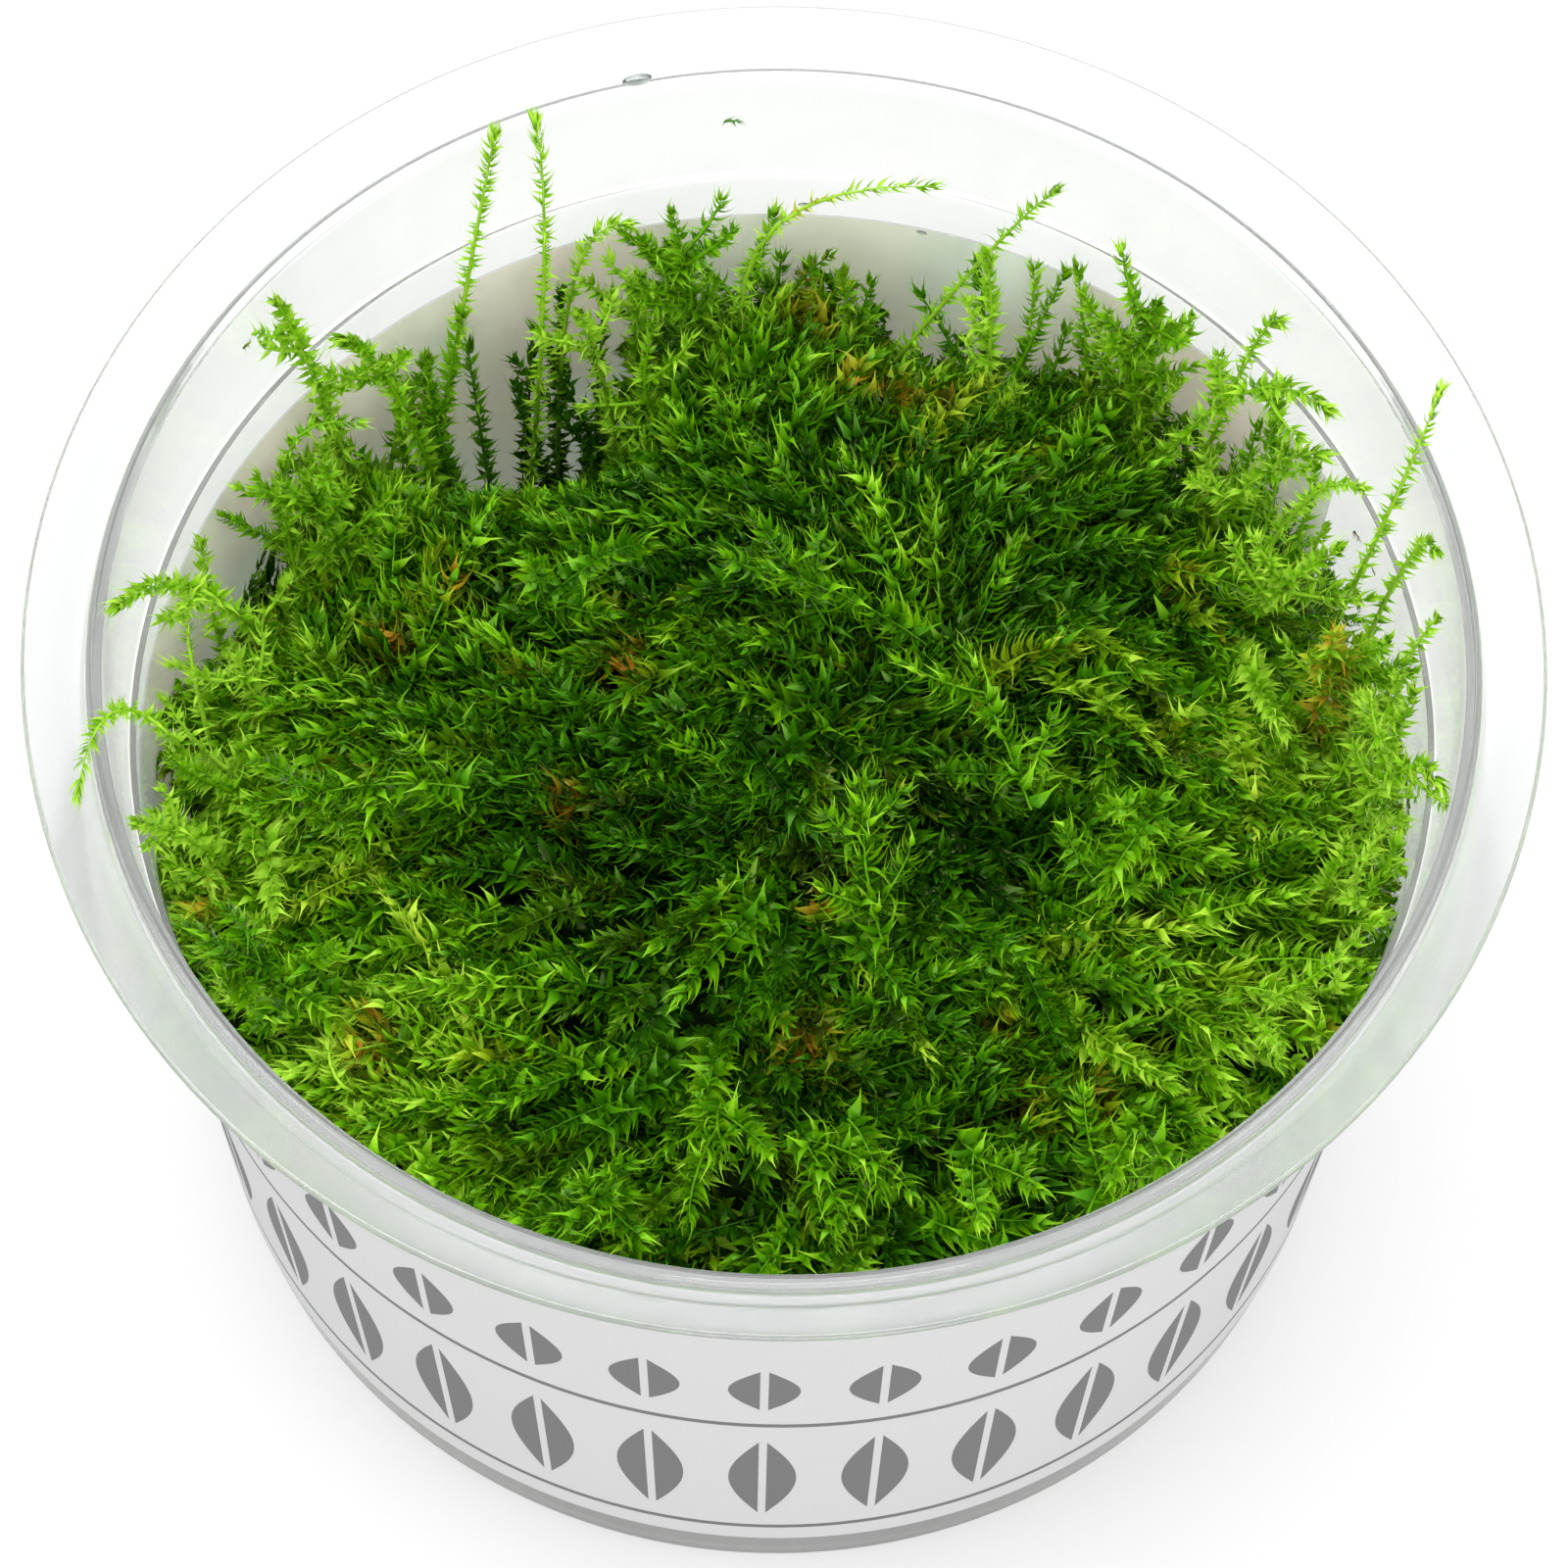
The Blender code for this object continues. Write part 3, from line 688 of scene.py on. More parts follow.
def make_label(inside, outside):
    """An open tube on the wall's taper, parted at the back right, then given its thickness."""
    middle = (LABEL_BOTTOM + LABEL_TOP) / 2
    radius = outer_wall_radius(middle) + LABEL_OFFSET
    deselect_all()
    bpy.ops.mesh.primitive_cylinder_add(
        vertices=LABEL_SIDES, radius=radius, depth=LABEL_TOP - LABEL_BOTTOM,
        end_fill_type="NOTHING", location=(0, 0, middle))
    label = bpy.context.object
    label.name = "label_wrap"
    settle(label)
    bpy.ops.object.mode_set(mode="EDIT")
    for level in (LABEL_BOTTOM, LABEL_TOP):
        select_verts(label, lambda place: abs(place.z - level) < MM)
        scale = (outer_wall_radius(level) + LABEL_OFFSET) / radius
        bpy.ops.transform.resize(value=(scale, scale, 1), center_override=(0, 0, level))
    select_verts(label, in_label_gap)
    bpy.ops.mesh.delete(type="VERT")
    bpy.ops.mesh.select_all(action="SELECT")
    bpy.ops.mesh.normals_make_consistent(inside=False)
    bpy.ops.object.mode_set(mode="OBJECT")
    solid = label.modifiers.new("paper_thickness", "SOLIDIFY")
    solid.thickness = LABEL_THICKNESS
    solid.offset = 1
    solid.material_offset = 1
    solid.material_offset_rim = 0
    label.data.materials.append(outside)
    label.data.materials.append(inside)
    for vert in label.data.vertices:
        vert.co.z -= vert.co.y * LABEL_TILT
    apply_all_modifiers(label)
    bpy.ops.object.shade_smooth_by_angle(angle=math.radians(LABEL_SMOOTH_ANGLE))
    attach(label, "root")
    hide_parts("label")
    return label


def in_label_gap(place):
    azimuth = math.degrees(math.atan2(place.y, place.x)) % 360
    return azimuth < LABEL_START or azimuth > LABEL_END


# The moss

def leaf_shape(rows):
    """One leaf, 1 long: a pointed blade with a channel along its midrib where it is broad."""
    step = 1 / (len(rows) - 1)
    deselect_all()
    bpy.ops.mesh.primitive_grid_add(x_subdivisions=2, y_subdivisions=len(rows) - 1, size=1,
                                    location=(0, 0.5, 0))
    leaf = bpy.context.object
    settle(leaf)
    bpy.ops.object.mode_set(mode="EDIT")
    for index in reversed(range(len(rows))):
        along, width = rows[index]
        level = index * step
        select_verts(leaf, lambda place: abs(place.y - level) < step / 4)
        bpy.ops.transform.resize(value=(width, 1, 1), center_override=(0, level, 0))
        bpy.ops.transform.translate(value=(0, along - level, 0))
    for index, (along, width) in enumerate(rows[1:-1]):
        select_verts(leaf, lambda place: abs(place.x) < 0.01 and abs(place.y - along) < 0.01)
        move = (0, 0, -LEAF_CHANNEL) if index == 0 else (-width / 2, 0, 0)
        bpy.ops.transform.translate(value=move)
    bpy.ops.mesh.select_all(action="SELECT")
    bpy.ops.mesh.remove_doubles(threshold=0.01)
    bpy.ops.mesh.quads_convert_to_tris()
    bpy.ops.object.mode_set(mode="OBJECT")
    points = np.array([vert.co[:] for vert in leaf.data.vertices])
    faces = np.array([tuple(face.vertices) for face in leaf.data.polygons])
    bpy.data.objects.remove(leaf, do_unlink=True)
    return points, faces


def unit(vectors):
    return vectors / np.maximum(np.linalg.norm(vectors, axis=-1, keepdims=True), 1e-12)


def curve(path, shares):
    """Points of the parabola that starts, passes its middle and ends where given, and the
    directions along it."""
    start, middle, end = path
    bend = 2 * middle - (start + end) / 2
    shares = shares[:, None]
    near = start + (bend - start) * shares
    far = bend + (end - bend) * shares
    directions = unit((bend - start) * (1 - shares) + (end - bend) * shares)
    return near + (far - near) * shares, directions


def curve_length(path):
    points, _ = curve(path, np.linspace(0, 1, 9))
    return np.linalg.norm(np.diff(points, axis=0), axis=1).sum()


class Tangle:
    """Gathers the leaves and stems of many shoots, and joins them into one mesh."""

    def __init__(self, leaf, draw):
        self.leaf_points, self.leaf_faces = leaf
        self.draw = draw
        self.points, self.faces, self.tones, self.ages = [], [], [], []
        self.count = 0

    def add(self, points, faces, tones, ages):
        self.points.append(points)
        self.faces.append(faces + self.count)
        self.tones.append(tones)
        self.ages.append(ages)
        self.count += len(points)

    def stem(self, path, face, kind, size, tone, age):
        """A thin tube with a pointed end."""
        sides, stations = kind.tube
        shares = np.linspace(0, 1, stations)
        centres, along = curve(path, shares)
        across = unit(np.cross(along, face))
        over = np.cross(across, along)
        turns = np.arange(sides) * math.tau / sides
        rims = across[:, None] * np.cos(turns)[:, None] + over[:, None] * np.sin(turns)[:, None]
        widths = kind.stem * MM * size * (1.05 - STEM_TAPER * shares ** 2)[:, None, None]
        points = (centres[:, None] + rims * widths).reshape(-1, 3)
        faces = []
        for station in range(stations - 1):
            for side in range(sides):
                a = station * sides + side
                b = station * sides + (side + 1) % sides
                faces.append((a, b, b + sides))
                faces.append((a, b + sides, a + sides))
        self.add(points, np.array(faces), np.full(len(points), tone), np.full(len(points), age))

    def leaves(self, path, face, kind, tone, age, size):
        """Leaves along a shoot: some in two flat rows, the others all round it."""
        draw = self.draw
        count = max(6, int(curve_length(path) / (kind.spacing * MM * size)))
        steps = np.arange(count) + draw.uniform(-LEAF_JITTER, LEAF_JITTER, count)
        shares = np.clip(steps / count, 0, 1) ** kind.crowding
        clustered = draw.random(count) < kind.cluster
        shares = np.where(clustered, draw.uniform(CLUSTER_START, 1.0, count), shares)
        centres, along = curve(path, shares)
        across = unit(np.cross(along, face))
        over = np.cross(across, along)
        flat = draw.random(count) < kind.flat
        side = np.where(np.arange(count) % 2 == 0, 0.0, math.pi)
        turns = np.where(flat, side + draw.normal(0, ROW_SCATTER, count),
                         draw.uniform(0, math.tau, count))
        radial = across * np.cos(turns)[:, None] + over * np.sin(turns)[:, None]
        closing = 1.06 - TIP_CLOSING * shares ** 4
        spread = np.radians(kind.spread + draw.normal(0, SPREAD_SCATTER, count)) * closing
        lengthwise = along * np.cos(spread)[:, None] + radial * np.sin(spread)[:, None]
        ring = unit(np.cross(radial, lengthwise))
        inward = np.cross(ring, lengthwise)
        twist = np.where(flat, -np.sign(np.cos(turns)) * draw.uniform(*FLAT_TWIST, count),
                         draw.normal(0, LOOSE_TWIST, count))
        width = ring * np.cos(twist)[:, None] + inward * np.sin(twist)[:, None]
        normal = np.cross(width, lengthwise)
        along_shoot = 1 + (kind.tip - 1) * shares ** 4 + FOOT_GROWTH * (1 - shares) ** 2
        scale = kind.leaf * MM * size * draw.uniform(*LEAF_SIZES, count) * along_shoot
        axes = np.stack([width, lengthwise, normal], axis=1) * scale[:, None, None]
        shapes = self.curled(count, kind.breadth, kind.curl)
        points = centres[:, None] + np.einsum("npk,nkd->npd", shapes, axes)
        offsets = np.arange(count)[:, None, None] * len(self.leaf_points)
        faces = (self.leaf_faces[None] + offsets).reshape(-1, 3)
        own = tone + draw.normal(0, LEAF_TONE_SCATTER, count) + TONE_ALONG_SHOOT * (shares - 0.4)
        tones = own[:, None] + TONE_ALONG_LEAF * (self.leaf_points[:, 1] - 0.35)[None]
        ages = np.maximum(age, spot_age(centres) * draw.uniform(*AGE_SPREAD, count))
        ages = np.repeat(ages[:, None], len(self.leaf_points), axis=1)
        self.add(points.reshape(-1, 3), faces, tones.ravel(), ages.ravel())

    def curled(self, count, breadth, curl):
        """Copies of the leaf, each with its own curl towards or away from the stem."""
        curl = self.draw.normal(curl, CURL_SCATTER, count)[:, None]
        sway = self.draw.normal(0, SWAY_SCATTER, count)[:, None]
        along = self.leaf_points[None, :, 1]
        shapes = np.repeat(self.leaf_points[None], count, axis=0)
        shapes[:, :, 0] *= breadth * self.draw.uniform(*LEAF_BREADTHS, count)[:, None]
        shapes[:, :, 2] += curl * along ** 3
        shapes[:, :, 0] += sway * along ** 2
        return shapes

    def shoot(self, path, face, kind_name, tone, age=0.0, size=1.0):
        kind = KINDS[kind_name]
        self.stem(path, face, kind, size, tone + kind.stem_tone, age)
        self.leaves(path, face, kind, tone, age, size)

    def piece(self, name, material, *nodes):
        """Join what was gathered into one piece of the scene."""
        points = keep_inside(np.concatenate(self.points))
        ages = np.concatenate(self.ages)
        mesh = bpy.data.meshes.new(name)
        mesh.from_pydata(points, [], np.concatenate(self.faces))
        for label, values in (("tone", np.concatenate(self.tones)), ("age", ages)):
            layer = mesh.attributes.new(label, "FLOAT", "POINT")
            layer.data.foreach_set("value", np.clip(values, 0, 1).astype(np.float32))
        mesh.shade_smooth()
        mesh.materials.append(material)
        thing = bpy.data.objects.new(name, mesh)
        bpy.context.collection.objects.link(thing)
        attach(thing, "root")
        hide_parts(*nodes)
        return thing


def inner_limit(height):
    """How far out the moss may reach at each height inside the cup."""
    heights = [FLOOR_HEIGHT, FLOOR_HEIGHT + WALL_FOOT_HEIGHT, WALL_TOP_HEIGHT + SHOULDER_LAG,
               NECK_HEIGHT + SHOULDER_LAG, BEAD_BASE]
    radii = [FOOT_RADIUS - WALL, WALL_FOOT_RADIUS - WALL, WALL_TOP_RADIUS - WALL,
             NECK_RADIUS - WALL, BEAD_RADIUS - BEAD_WIDTH / 2]
    return np.interp(height, heights, radii) - MOSS_GAP


def keep_inside(points):
    """Press what would cut the plastic against it: the wall, the floor or the flange."""
    radius = np.hypot(points[:, 0], points[:, 1])
    height = np.clip(points[:, 2], FLOOR_HEIGHT + MOSS_GAP, cad_box[1].z - MOSS_GAP)
    limit = inner_limit(height)
    below_rim = height < BEAD_BASE + BEAD_RISE + MOSS_GAP
    pull = np.where(below_rim & (radius > limit), limit / np.maximum(radius, limit), 1.0)
    beyond = radius * pull > limit
    slope = (CUP_HEIGHT - BEAD_BASE) / (RIM_RADIUS - BEAD_RADIUS)
    flange = BEAD_BASE + (radius - BEAD_RADIUS) * slope + 2 * MOSS_GAP
    height = np.where(beyond, np.maximum(height, flange), height)
    return np.stack([points[:, 0] * pull, points[:, 1] * pull, height], axis=1)


def spot_age(points):
    """How far each point has turned, by the nearest aged spot."""
    ages = np.zeros(len(points))
    for azimuth, radius, reach in AGED_SPOTS:
        ages = np.maximum(ages, closeness(points, azimuth, radius, reach, 2))
    return ages


def painted_light_and_shade(places):
    """Painted light and shade on the moss: brighter towards the wall, for light through the plastic,
    and in some patches, and darker in the middle and over hollows.
    """
    radius = np.hypot(places[:, 0], places[:, 1]) / (WALL_TOP_RADIUS - WALL)
    tone = WALL_PAINTED_LIGHT * np.clip((radius - 0.5) / 0.45, 0, 1)
    for azimuth, patch_radius, reach, change in LIGHT_AND_SHADE_PATCHES:
        tone += change * closeness(places, azimuth, patch_radius, reach, 2)
    return tone


def sunk(places):
    """Places of the mound's surface, lowered where the tangle has a hollow."""
    depth = np.zeros(len(places))
    for azimuth, radius, reach, deepest in HOLLOWS:
        near = closeness(places, azimuth, radius, reach, 3)
        depth = np.maximum(depth, deepest * MM * near)
    lowered = places.copy()
    lowered[:, 2] -= depth * np.clip(places[:, 2] / (0.5 * CUP_HEIGHT), 0, 1)
    return lowered


class Mound:
    """The moss mound's solid, read for the places where shoots grow."""

    def __init__(self):
        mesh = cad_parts["moss_mound"].data
        mesh.calc_loop_triangles()
        places = sunk(np.array([vert.co[:] for vert in mesh.vertices]))
        corners = [tuple(tri.vertices) for tri in mesh.loop_triangles]
        self.surface = BVHTree.FromPolygons([Vector(place) for place in places], corners)
        self.triangles = places[np.array(corners)]
        sides = np.cross(self.triangles[:, 1] - self.triangles[:, 0],
                         self.triangles[:, 2] - self.triangles[:, 0])
        self.areas = np.linalg.norm(sides, axis=1) / 2
        self.normals = unit(sides)

    def below(self, azimuth, radius):
        """The point of the surface straight below a place, and its normal."""
        above = polar(azimuth, radius, CUP_HEIGHT)
        hit, normal, _, _ = self.surface.ray_cast(above, Vector((0, 0, -1)))
        return np.array(hit), np.array(normal)

    def height(self, place):
        """How high the surface is below a place."""
        radius = min(math.hypot(place[0], place[1]), MOUND_REACH)
        azimuth = math.degrees(math.atan2(place[1], place[0]))
        return self.below(azimuth, radius)[0][2]

    def held_near(self, place, share):
        """The place, lowered or lifted until it is only a little above the surface."""
        lowest = self.height(place) + TIP_LIFT
        highest = max(lowest, lowest + clearance(place) * share)
        return np.array((place[0], place[1], np.clip(place[2], lowest, highest)))

    def scatter(self, count, draw, where):
        """Places spread evenly over the faces of its top or of its flank."""
        level = np.abs(self.normals[:, 2]) < 0.12
        if where == "flank":
            chosen = np.where(level & (self.triangles[:, :, 2].mean(axis=1) > 1.6 * MM))[0]
        else:
            chosen = np.where(~level & (self.normals[:, 2] > 0))[0]
        share = self.areas[chosen] / self.areas[chosen].sum()
        picks = chosen[draw.choice(len(chosen), count, p=share)]
        first, second = draw.random((2, count, 1))
        over = first + second > 1
        first, second = np.where(over, 1 - first, first), np.where(over, 1 - second, second)
        corner = self.triangles[picks]
        places = corner[:, 0] * (1 - first - second) + corner[:, 1] * first + corner[:, 2] * second
        return places, self.normals[picks]


def clearance(place):
    """How far a leafy shoot may stand above the mound at a place."""
    azimuth = math.degrees(math.atan2(place[1], place[0]))
    at_wall = np.interp(azimuth, list(CLEARANCE_AT_WALL), list(CLEARANCE_AT_WALL.values()),
                        period=360)
    outness = np.clip((math.hypot(place[0], place[1]) / MOUND_REACH - 0.65) / 0.3, 0, 1)
    return blend(CLEARANCE_IN_MIDDLE, at_wall, outness) * MM


def moss_heart(material):
    """The tangle under the leaves, dark with painted shade: the mound's form, drawn in and
    roughened.
    """
    deselect_all()
    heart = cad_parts["moss_mound"].copy()
    heart.data = heart.data.copy()
    heart.name = "moss_heart"
    heart.data.materials.clear()
    bpy.context.collection.objects.link(heart)
    settle(heart)
    bpy.ops.object.mode_set(mode="EDIT")
    bpy.ops.mesh.select_all(action="SELECT")
    bpy.ops.mesh.remove_doubles(threshold=0.02 * MM)
    bpy.ops.mesh.subdivide(number_cuts=1)
    bpy.ops.object.mode_set(mode="OBJECT")
    places = np.array([vert.co[:] for vert in heart.data.vertices])
    heart.data.vertices.foreach_set("co", sunk(places).ravel())
    tangle = bpy.data.textures.new("heart_tangle", "CLOUDS")
    tangle.noise_scale = HEART_GRAIN
    tangle.noise_depth = 2
    leafy = heart.vertex_groups.new(name="leafy")
    for vert in heart.data.vertices:
        share = (vert.co.z - BARE_FOOT) / BARE_FOOT
        leafy.add([vert.index], min(max(share, 0.0), 1.0), "REPLACE")
    rough = heart.modifiers.new("roughened", "DISPLACE")
    rough.vertex_group = "leafy"
    rough.texture = tangle
    rough.texture_coords = "OBJECT"
    rough.strength = HEART_ROUGHNESS
    rough.mid_level = 0.5 + HEART_DEPTH / rough.strength
    apply_all_modifiers(heart)
    bpy.ops.object.shade_smooth()
    heart.data.materials.append(material)
    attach(heart, "root")
    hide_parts("moss_mound")
    return heart


def bareness(places):
    """How near each place is to one where the wall shows past the moss, from 0 to 1."""
    bare = np.zeros(len(places))
    for azimuth, radius, reach in BARE_PLACES:
        bare = np.maximum(bare, closeness(places, azimuth, radius, reach, 4))
    return bare


def surface_shoots(tangle, mound, kind_name, count, length, sink, rise, where):
    """Shoots that leave the mound and arch over, most of them outwards."""
    draw = tangle.draw
    if kind_name == "frond":
        places, normals = set_apart(*mound.scatter(count * 4, draw, where), count)
    else:
        places, normals = mound.scatter(count, draw, where)
    count = len(places)
    direction = growing_direction(places)
    sideways = unit(draw.normal(size=places.shape) * (1, 1, 0.5))
    leave = unit(normals * rise + direction * LEAVE_OUTWARD + sideways * LEAVE_ASIDE)
    arch = unit(leave * TIP_ONWARD + direction * TIP_OUTWARD + sideways * TIP_ASIDE
                - np.array((0, 0, TIP_DROOP)))
    bare = bareness(places) if where == "top" else np.zeros(count)
    lengths = length * draw.uniform(*SHOOT_LENGTHS, count) * (1 - 0.5 * bare)
    scatter = draw.normal(0, SHOOT_TONE_SCATTER, count)
    # The tone carries painted light and shade by the shoot's place
    tones = KINDS[kind_name].tone + painted_light_and_shade(places) + scatter
    ages = np.clip(draw.normal(SHOOT_AGE, SHOOT_AGE_SCATTER, count), 0, SHOOT_OLDEST)
    if where == "top":
        places = places - direction * lengths[:, None] * FOOT_SHIFT
    for index in np.where(draw.random(count) > 0.9 * bare)[0]:
        if where == "top":
            places[index, 2] = mound.height(places[index])
        start = places[index] - normals[index] * sink
        bend = start + leave[index] * lengths[index] * 0.5
        end = bend + arch[index] * lengths[index] * 0.5
        if where == "top":
            share = draw.uniform(*TIP_CLEARANCES)
            bend = mound.held_near(bend, share + ARCH_CLEARANCE)
            end = mound.held_near(end, share)
        middle = (start + 2 * bend + end) / 4
        face = unit(normals[index] * 0.6 + np.array((0, -0.2, 0.6)) + draw.normal(0, 0.25, 3))
        tangle.shoot((start, middle, end), face, kind_name, tones[index], ages[index],
                     size=draw.uniform(*SHOOT_SIZES))


def set_apart(places, normals, most):
    """Of many places, the first ones that lie well apart from each other."""
    kept = []
    for index, place in enumerate(places):
        if all(np.linalg.norm(place - places[other]) > FROND_GAP for other in kept):
            kept.append(index)
    kept = kept[:most]
    return places[kept], normals[kept]


def growing_direction(places):
    """Outwards on the whole, but drifting to one side or the other together with neighbours."""
    x, y = places[:, 0] / DRIFT_LENGTH, places[:, 1] / DRIFT_LENGTH
    waves = np.sin(1.1 * x + 0.5 * y + 1) + np.sin(0.6 * x - 1.3 * y + 3) + np.sin(1.7 * y + x)
    turn = np.arctan2(places[:, 1], places[:, 0]) + math.radians(DRIFT) * waves
    return np.stack([np.cos(turn), np.sin(turn), np.zeros(len(turn))], axis=1)


def climbing_shoots(tangle, mound):
    """Shoots that stand up along the wall, from the mound to near the rim."""
    draw = tangle.draw
    for start, stop, count, low, high, bright in CLIMBING_STRETCHES:
        for azimuth in draw.uniform(start, stop, count // (1)):
            radius = draw.uniform(*CLIMB_FOOT_RADIUS)
            foot, normal = mound.below(azimuth, radius * MM)
            top = draw.uniform(low, high)
            tip_azimuth = azimuth + draw.normal(0, CLIMB_STRAY)
            tip = spot(tip_azimuth, draw.uniform(*CLIMB_TIP_RADIUS), top)
            foot = foot - normal * MM
            middle = (foot + tip) / 2 + spot(azimuth, draw.uniform(0, CLIMB_BOW))
            tone = bright + draw.normal(0, CLIMB_TONE_SCATTER)
            face = unit(TOWARDS_EYE + draw.normal(0, CLIMB_FACE_SCATTER, 3))
            tangle.shoot((foot, middle, tip), face, "plain", tone, size=draw.uniform(*CLIMB_SIZES))


def laid_frond(tangle, foot, tip):
    """A long frond that lies on the mound, with a short branch on each side."""
    draw = tangle.draw
    start, end = spot(*foot), spot(*tip)
    aside = unit(np.cross(end - start, (0, 0, 1))) * draw.uniform(-1, 1) * LAID_ARCH
    middle = (start + end) / 2 + np.array((0, 0, LAID_ARCH)) + aside
    path = (start, middle, end)
    tone = KINDS["frond"].tone + LAID_BRIGHTENING
    tangle.shoot(path, TOWARDS_EYE, "frond", tone)
    add_branches(tangle, path, "frond", BRANCHES["frond"], tone)


def add_branches(tangle, path, kind_name, count, tone):
    """Short branches on both sides of a shoot, pointing towards its tip."""
    draw = tangle.draw
    for index in range(count):
        share = np.array([draw.uniform(*BRANCH_PLACES)])
        (root,), (along,) = curve(path, share)
        side = unit(np.cross(along, TOWARDS_EYE)) * (1 if index % 2 else -1)
        reach = draw.uniform(*BRANCH_REACH) * MM
        outward = unit(along * BRANCH_ONWARD + side * draw.uniform(*BRANCH_ASIDE)
                       + draw.normal(0, BRANCH_STRAY, 3))
        last = root + outward * reach
        half = (root + last) / 2 + side * reach * BRANCH_BOW
        tangle.shoot((root, half, last), TOWARDS_EYE, kind_name, tone + BRANCH_BRIGHTENING,
                     size=BRANCH_SIZE)


def standing_shoot(name, mound, leaf, material, draw):
    """One shoot that stands clear of the mound, with as many short branches as its kind has."""
    kind_name, foot, middle, tip = STANDING_SHOOTS[name]
    start, normal = mound.below(foot[0], foot[1] * MM)
    path = (start - normal * STANDING_SINK * MM, spot(*middle), spot(*tip))
    tangle = Tangle(leaf, draw)
    tone = KINDS[kind_name].tone + draw.normal(0, 0.04)
    tangle.shoot(path, TOWARDS_EYE, kind_name, tone)
    add_branches(tangle, path, kind_name, BRANCHES[kind_name], tone)
    return tangle.piece("leafy_" + name, material, name)


def make_moss(leaf_green, heart_painted_shade):
    mound = Mound()
    leaf = leaf_shape(LEAF_ROWS)
    spare_leaf = leaf_shape(SPARE_LEAF_ROWS)
    draw = np.random.default_rng(SEED)
    thin_out = 1
    # The heart's dark material is painted shade
    moss_heart(heart_painted_shade)
    for layer, kind_name, parts, count, length, sink, rise, where in MOSS_LAYERS:
        for part in range(parts):
            tangle = Tangle(leaf if kind_name != "under" else spare_leaf, draw)
            surface_shoots(tangle, mound, kind_name, count // parts // thin_out, length * MM,
                           sink * MM, rise, where)
            if layer == "fronds" and part == 0:
                for foot, tip in LAID_FRONDS:
                    laid_frond(tangle, foot, tip)
            tangle.piece(f"moss_{layer}_{part + 1}", leaf_green, "moss_mound")
    tangle = Tangle(leaf, draw)
    climbing_shoots(tangle, mound)
    tangle.piece("moss_edge_1", leaf_green, "moss_mound")
    for name in STANDING_SHOOTS:
        standing_shoot(name, mound, leaf, leaf_green, draw)
    make_scraps(leaf, leaf_green, draw)


def make_drops(water):
    """Small drops on the plastic: balls flattened against the wall and drawn out along it."""
    drops = []
    for azimuth, radius, height, length in DROPS:
        deselect_all()
        bpy.ops.mesh.primitive_uv_sphere_add(segments=20, ring_count=12, radius=length * MM / 2)
        drop = bpy.context.object
        bpy.ops.object.mode_set(mode="EDIT")
        bpy.ops.mesh.select_all(action="SELECT")
        bpy.ops.transform.resize(value=(DROP_DEPTH, 1, DROP_HEIGHT))
        select_verts(drop, lambda place: place.x > 0)
        bpy.ops.transform.resize(value=(DROP_BACK, 1, 1), center_override=(0, 0, 0))
        bpy.ops.object.mode_set(mode="OBJECT")
        drop.rotation_euler.z = math.radians(azimuth)
        drop.location = polar(azimuth, radius * MM, height * MM)
        settle(drop)
        bpy.ops.object.shade_smooth()
        drops.append(drop)
    deselect_all()
    for drop in drops:
        drop.select_set(True)
    bpy.context.view_layer.objects.active = drops[0]
    bpy.ops.object.join()
    joined = bpy.context.object
    joined.name = "water_drops"
    joined.data.materials.append(water)
    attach(joined, "root")


def make_scraps(leaf, material, draw):
    """Bits of shoots that stick to the plastic, clear of the mound."""
    tangle = Tangle(leaf, draw)
    for azimuth, radius, height, length, age in SCRAPS:
        middle = spot(azimuth, radius, height)
        along = unit(unit(np.cross(middle, (0, 0, 1))) + draw.normal(0, SCRAP_TURN, 3))
        reach = along * length * MM / 2
        path = (middle - reach, middle, middle + reach)
        tangle.shoot(path, TOWARDS_EYE, "thin", SCRAP_TONE, age, size=SCRAP_SIZE)
    tangle.piece("moss_scraps", material, "moss_mound")


# The stage

# The floor's size and how far it lies below the cup, and the light of the room
FLOOR_SIZE = 4
FLOOR_DROP = 0.2 * MM
ROOM_LIGHT = 0.6

# The lamps: name, place, size and power
LAMPS = (
    ("overhead", (-0.10, 0.25, 1.0), 0.9, 8), ("left_fill", (-0.8, -0.2, 0.7), 0.6, 2.5),
    ("right_fill", (0.8, -0.3, 0.7), 0.6, 2.5), ("front_fill", (0.1, -1.0, 0.45), 0.7, 5),
)

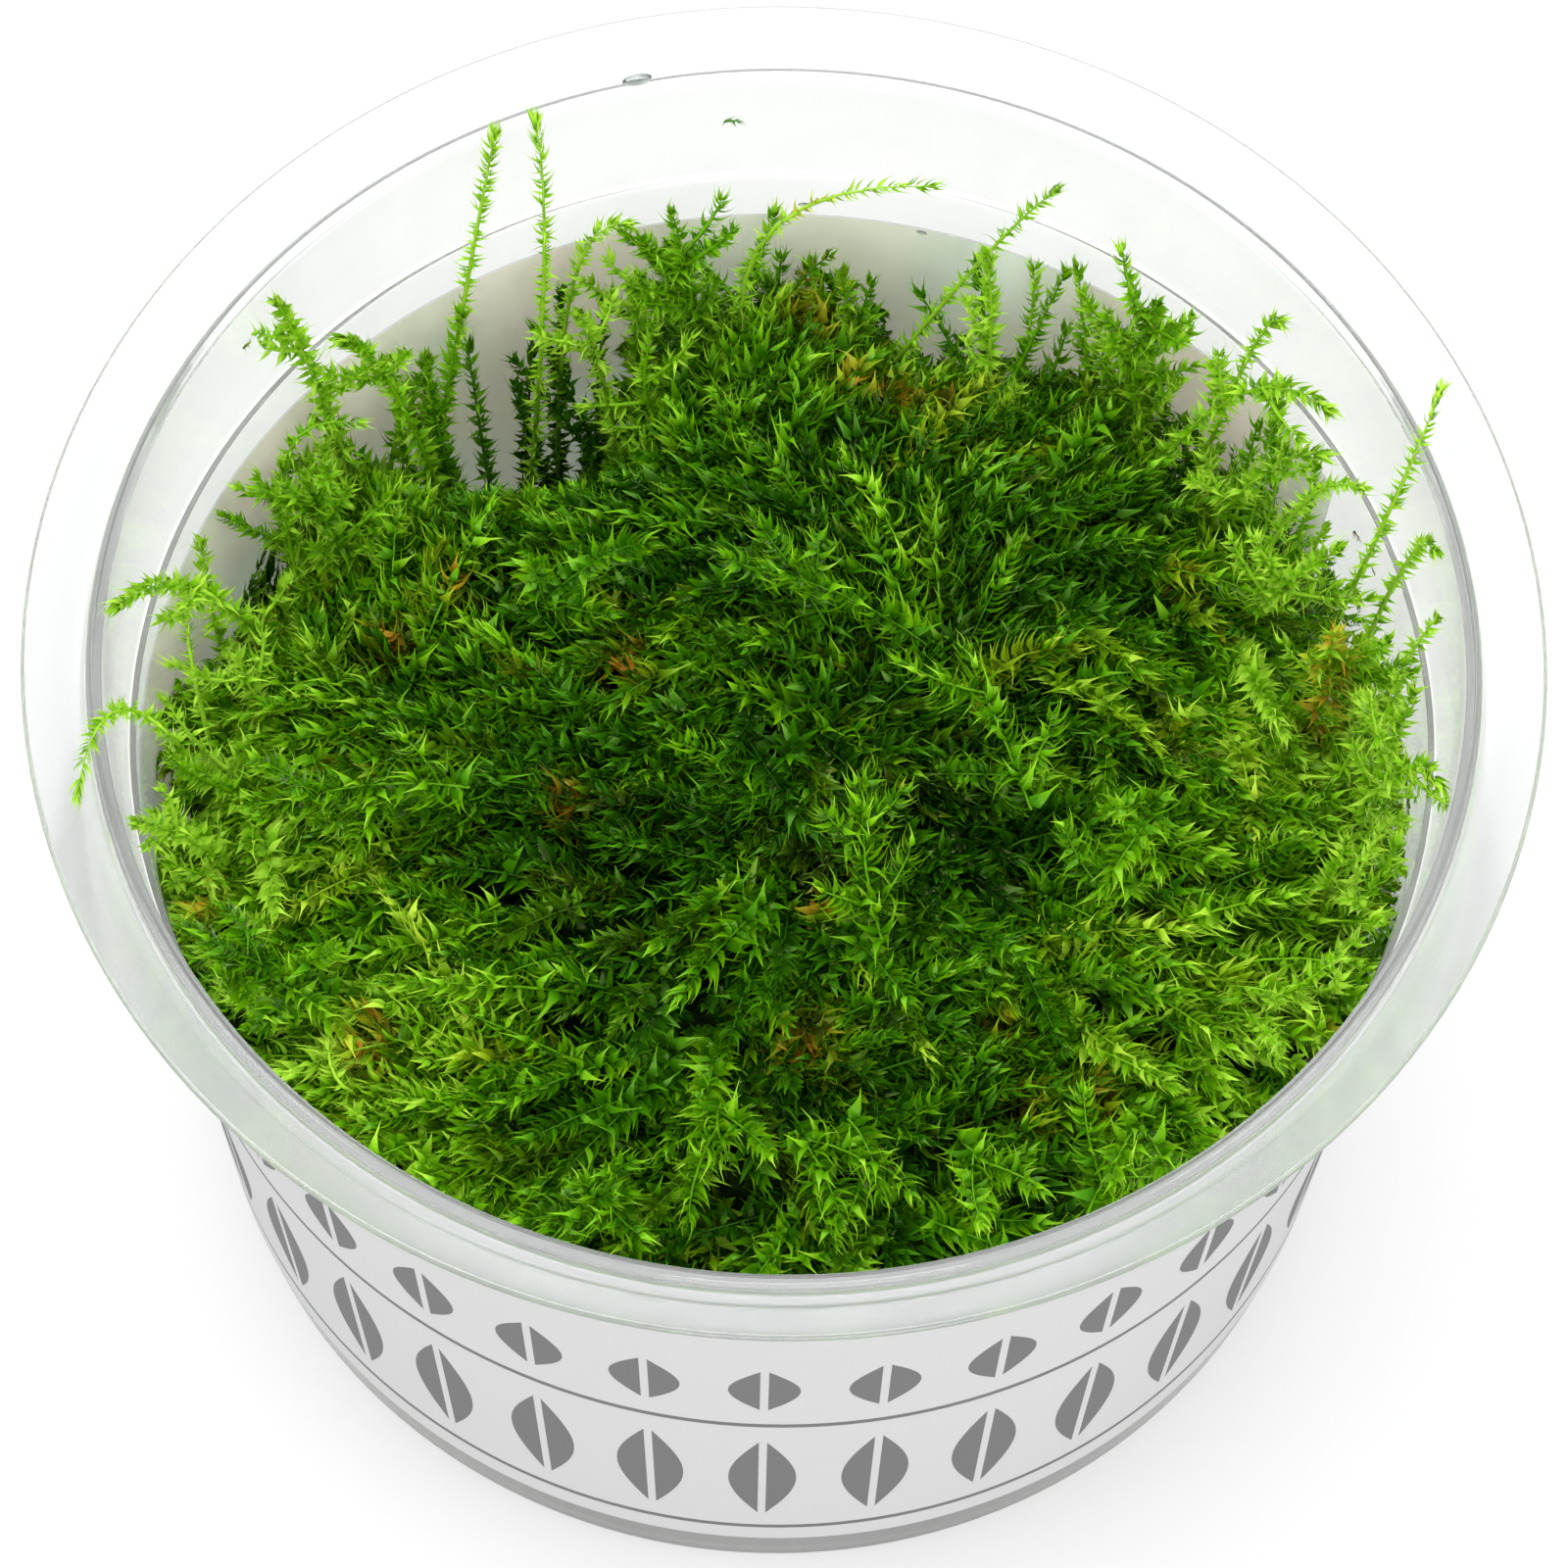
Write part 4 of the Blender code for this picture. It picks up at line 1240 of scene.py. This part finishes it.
# The camera: its angles in degrees, its distance from the point that it looks at, and its lens
CAMERA_ELEVATION = 62.06
CAMERA_ROLL = 1.56
CAMERA_DISTANCE = 435.5 * MM
CAMERA_TARGET = (0.2 * MM, 0, CUP_HEIGHT - 20.9 * MM)
CAMERA_LENS = 146.25


def make_floor(material):
    deselect_all()
    bpy.ops.mesh.primitive_plane_add(size=FLOOR_SIZE, location=(0, 0, -FLOOR_DROP))
    floor = bpy.context.object
    floor.name = "floor"
    settle(floor)
    floor.data.materials.append(material)


def add_area_light(name, place, size, power):
    data = bpy.data.lights.new(name, "AREA")
    data.shape = "DISK"
    data.size = size
    data.energy = power
    lamp = bpy.data.objects.new(name, data)
    lamp.location = place
    lamp.rotation_euler = (Vector((0, 0, 0.04)) - Vector(place)).to_track_quat("-Z", "Y").to_euler()
    bpy.context.collection.objects.link(lamp)


def make_light():
    """Large soft lamps above a pale room, as for a picture on a white table."""
    world = bpy.data.worlds.new("studio")
    world.use_nodes = True
    backdrop = world.node_tree.nodes["Background"]
    backdrop.inputs["Color"].default_value = (1, 1, 1, 1)
    backdrop.inputs["Strength"].default_value = ROOM_LIGHT
    bpy.context.scene.world = world
    for lamp in LAMPS:
        add_area_light(*lamp)
    bpy.context.scene.view_settings.view_transform = "Standard"


def make_camera():
    """Where the photograph was taken from: high in front, with a long lens."""
    elevation = math.radians(CAMERA_ELEVATION)
    back = Vector((0, -math.cos(elevation), math.sin(elevation)))
    data = bpy.data.cameras.new("camera")
    data.lens = CAMERA_LENS
    data.sensor_width = 36
    data.clip_start = 0.01
    data.clip_end = 20
    camera = bpy.data.objects.new("camera", data)
    camera.location = Vector(CAMERA_TARGET) + back * CAMERA_DISTANCE
    roll = math.radians(CAMERA_ROLL)
    right = Vector((1, 0, 0))
    up = back.cross(right)
    turned_right = right * math.cos(roll) + up * math.sin(roll)
    turned_up = up * math.cos(roll) - right * math.sin(roll)
    turn = Matrix((turned_right, turned_up, back)).transposed()
    camera.rotation_euler = turn.to_euler()
    bpy.context.collection.objects.link(camera)
    bpy.context.scene.camera = camera


make_camera()
make_cup(clear_plastic())
make_label(label_inside(), label_outside())
make_moss(moss_leaf(), moss_shade())
make_drops(clear_water())
make_floor(floor_white())
make_light()
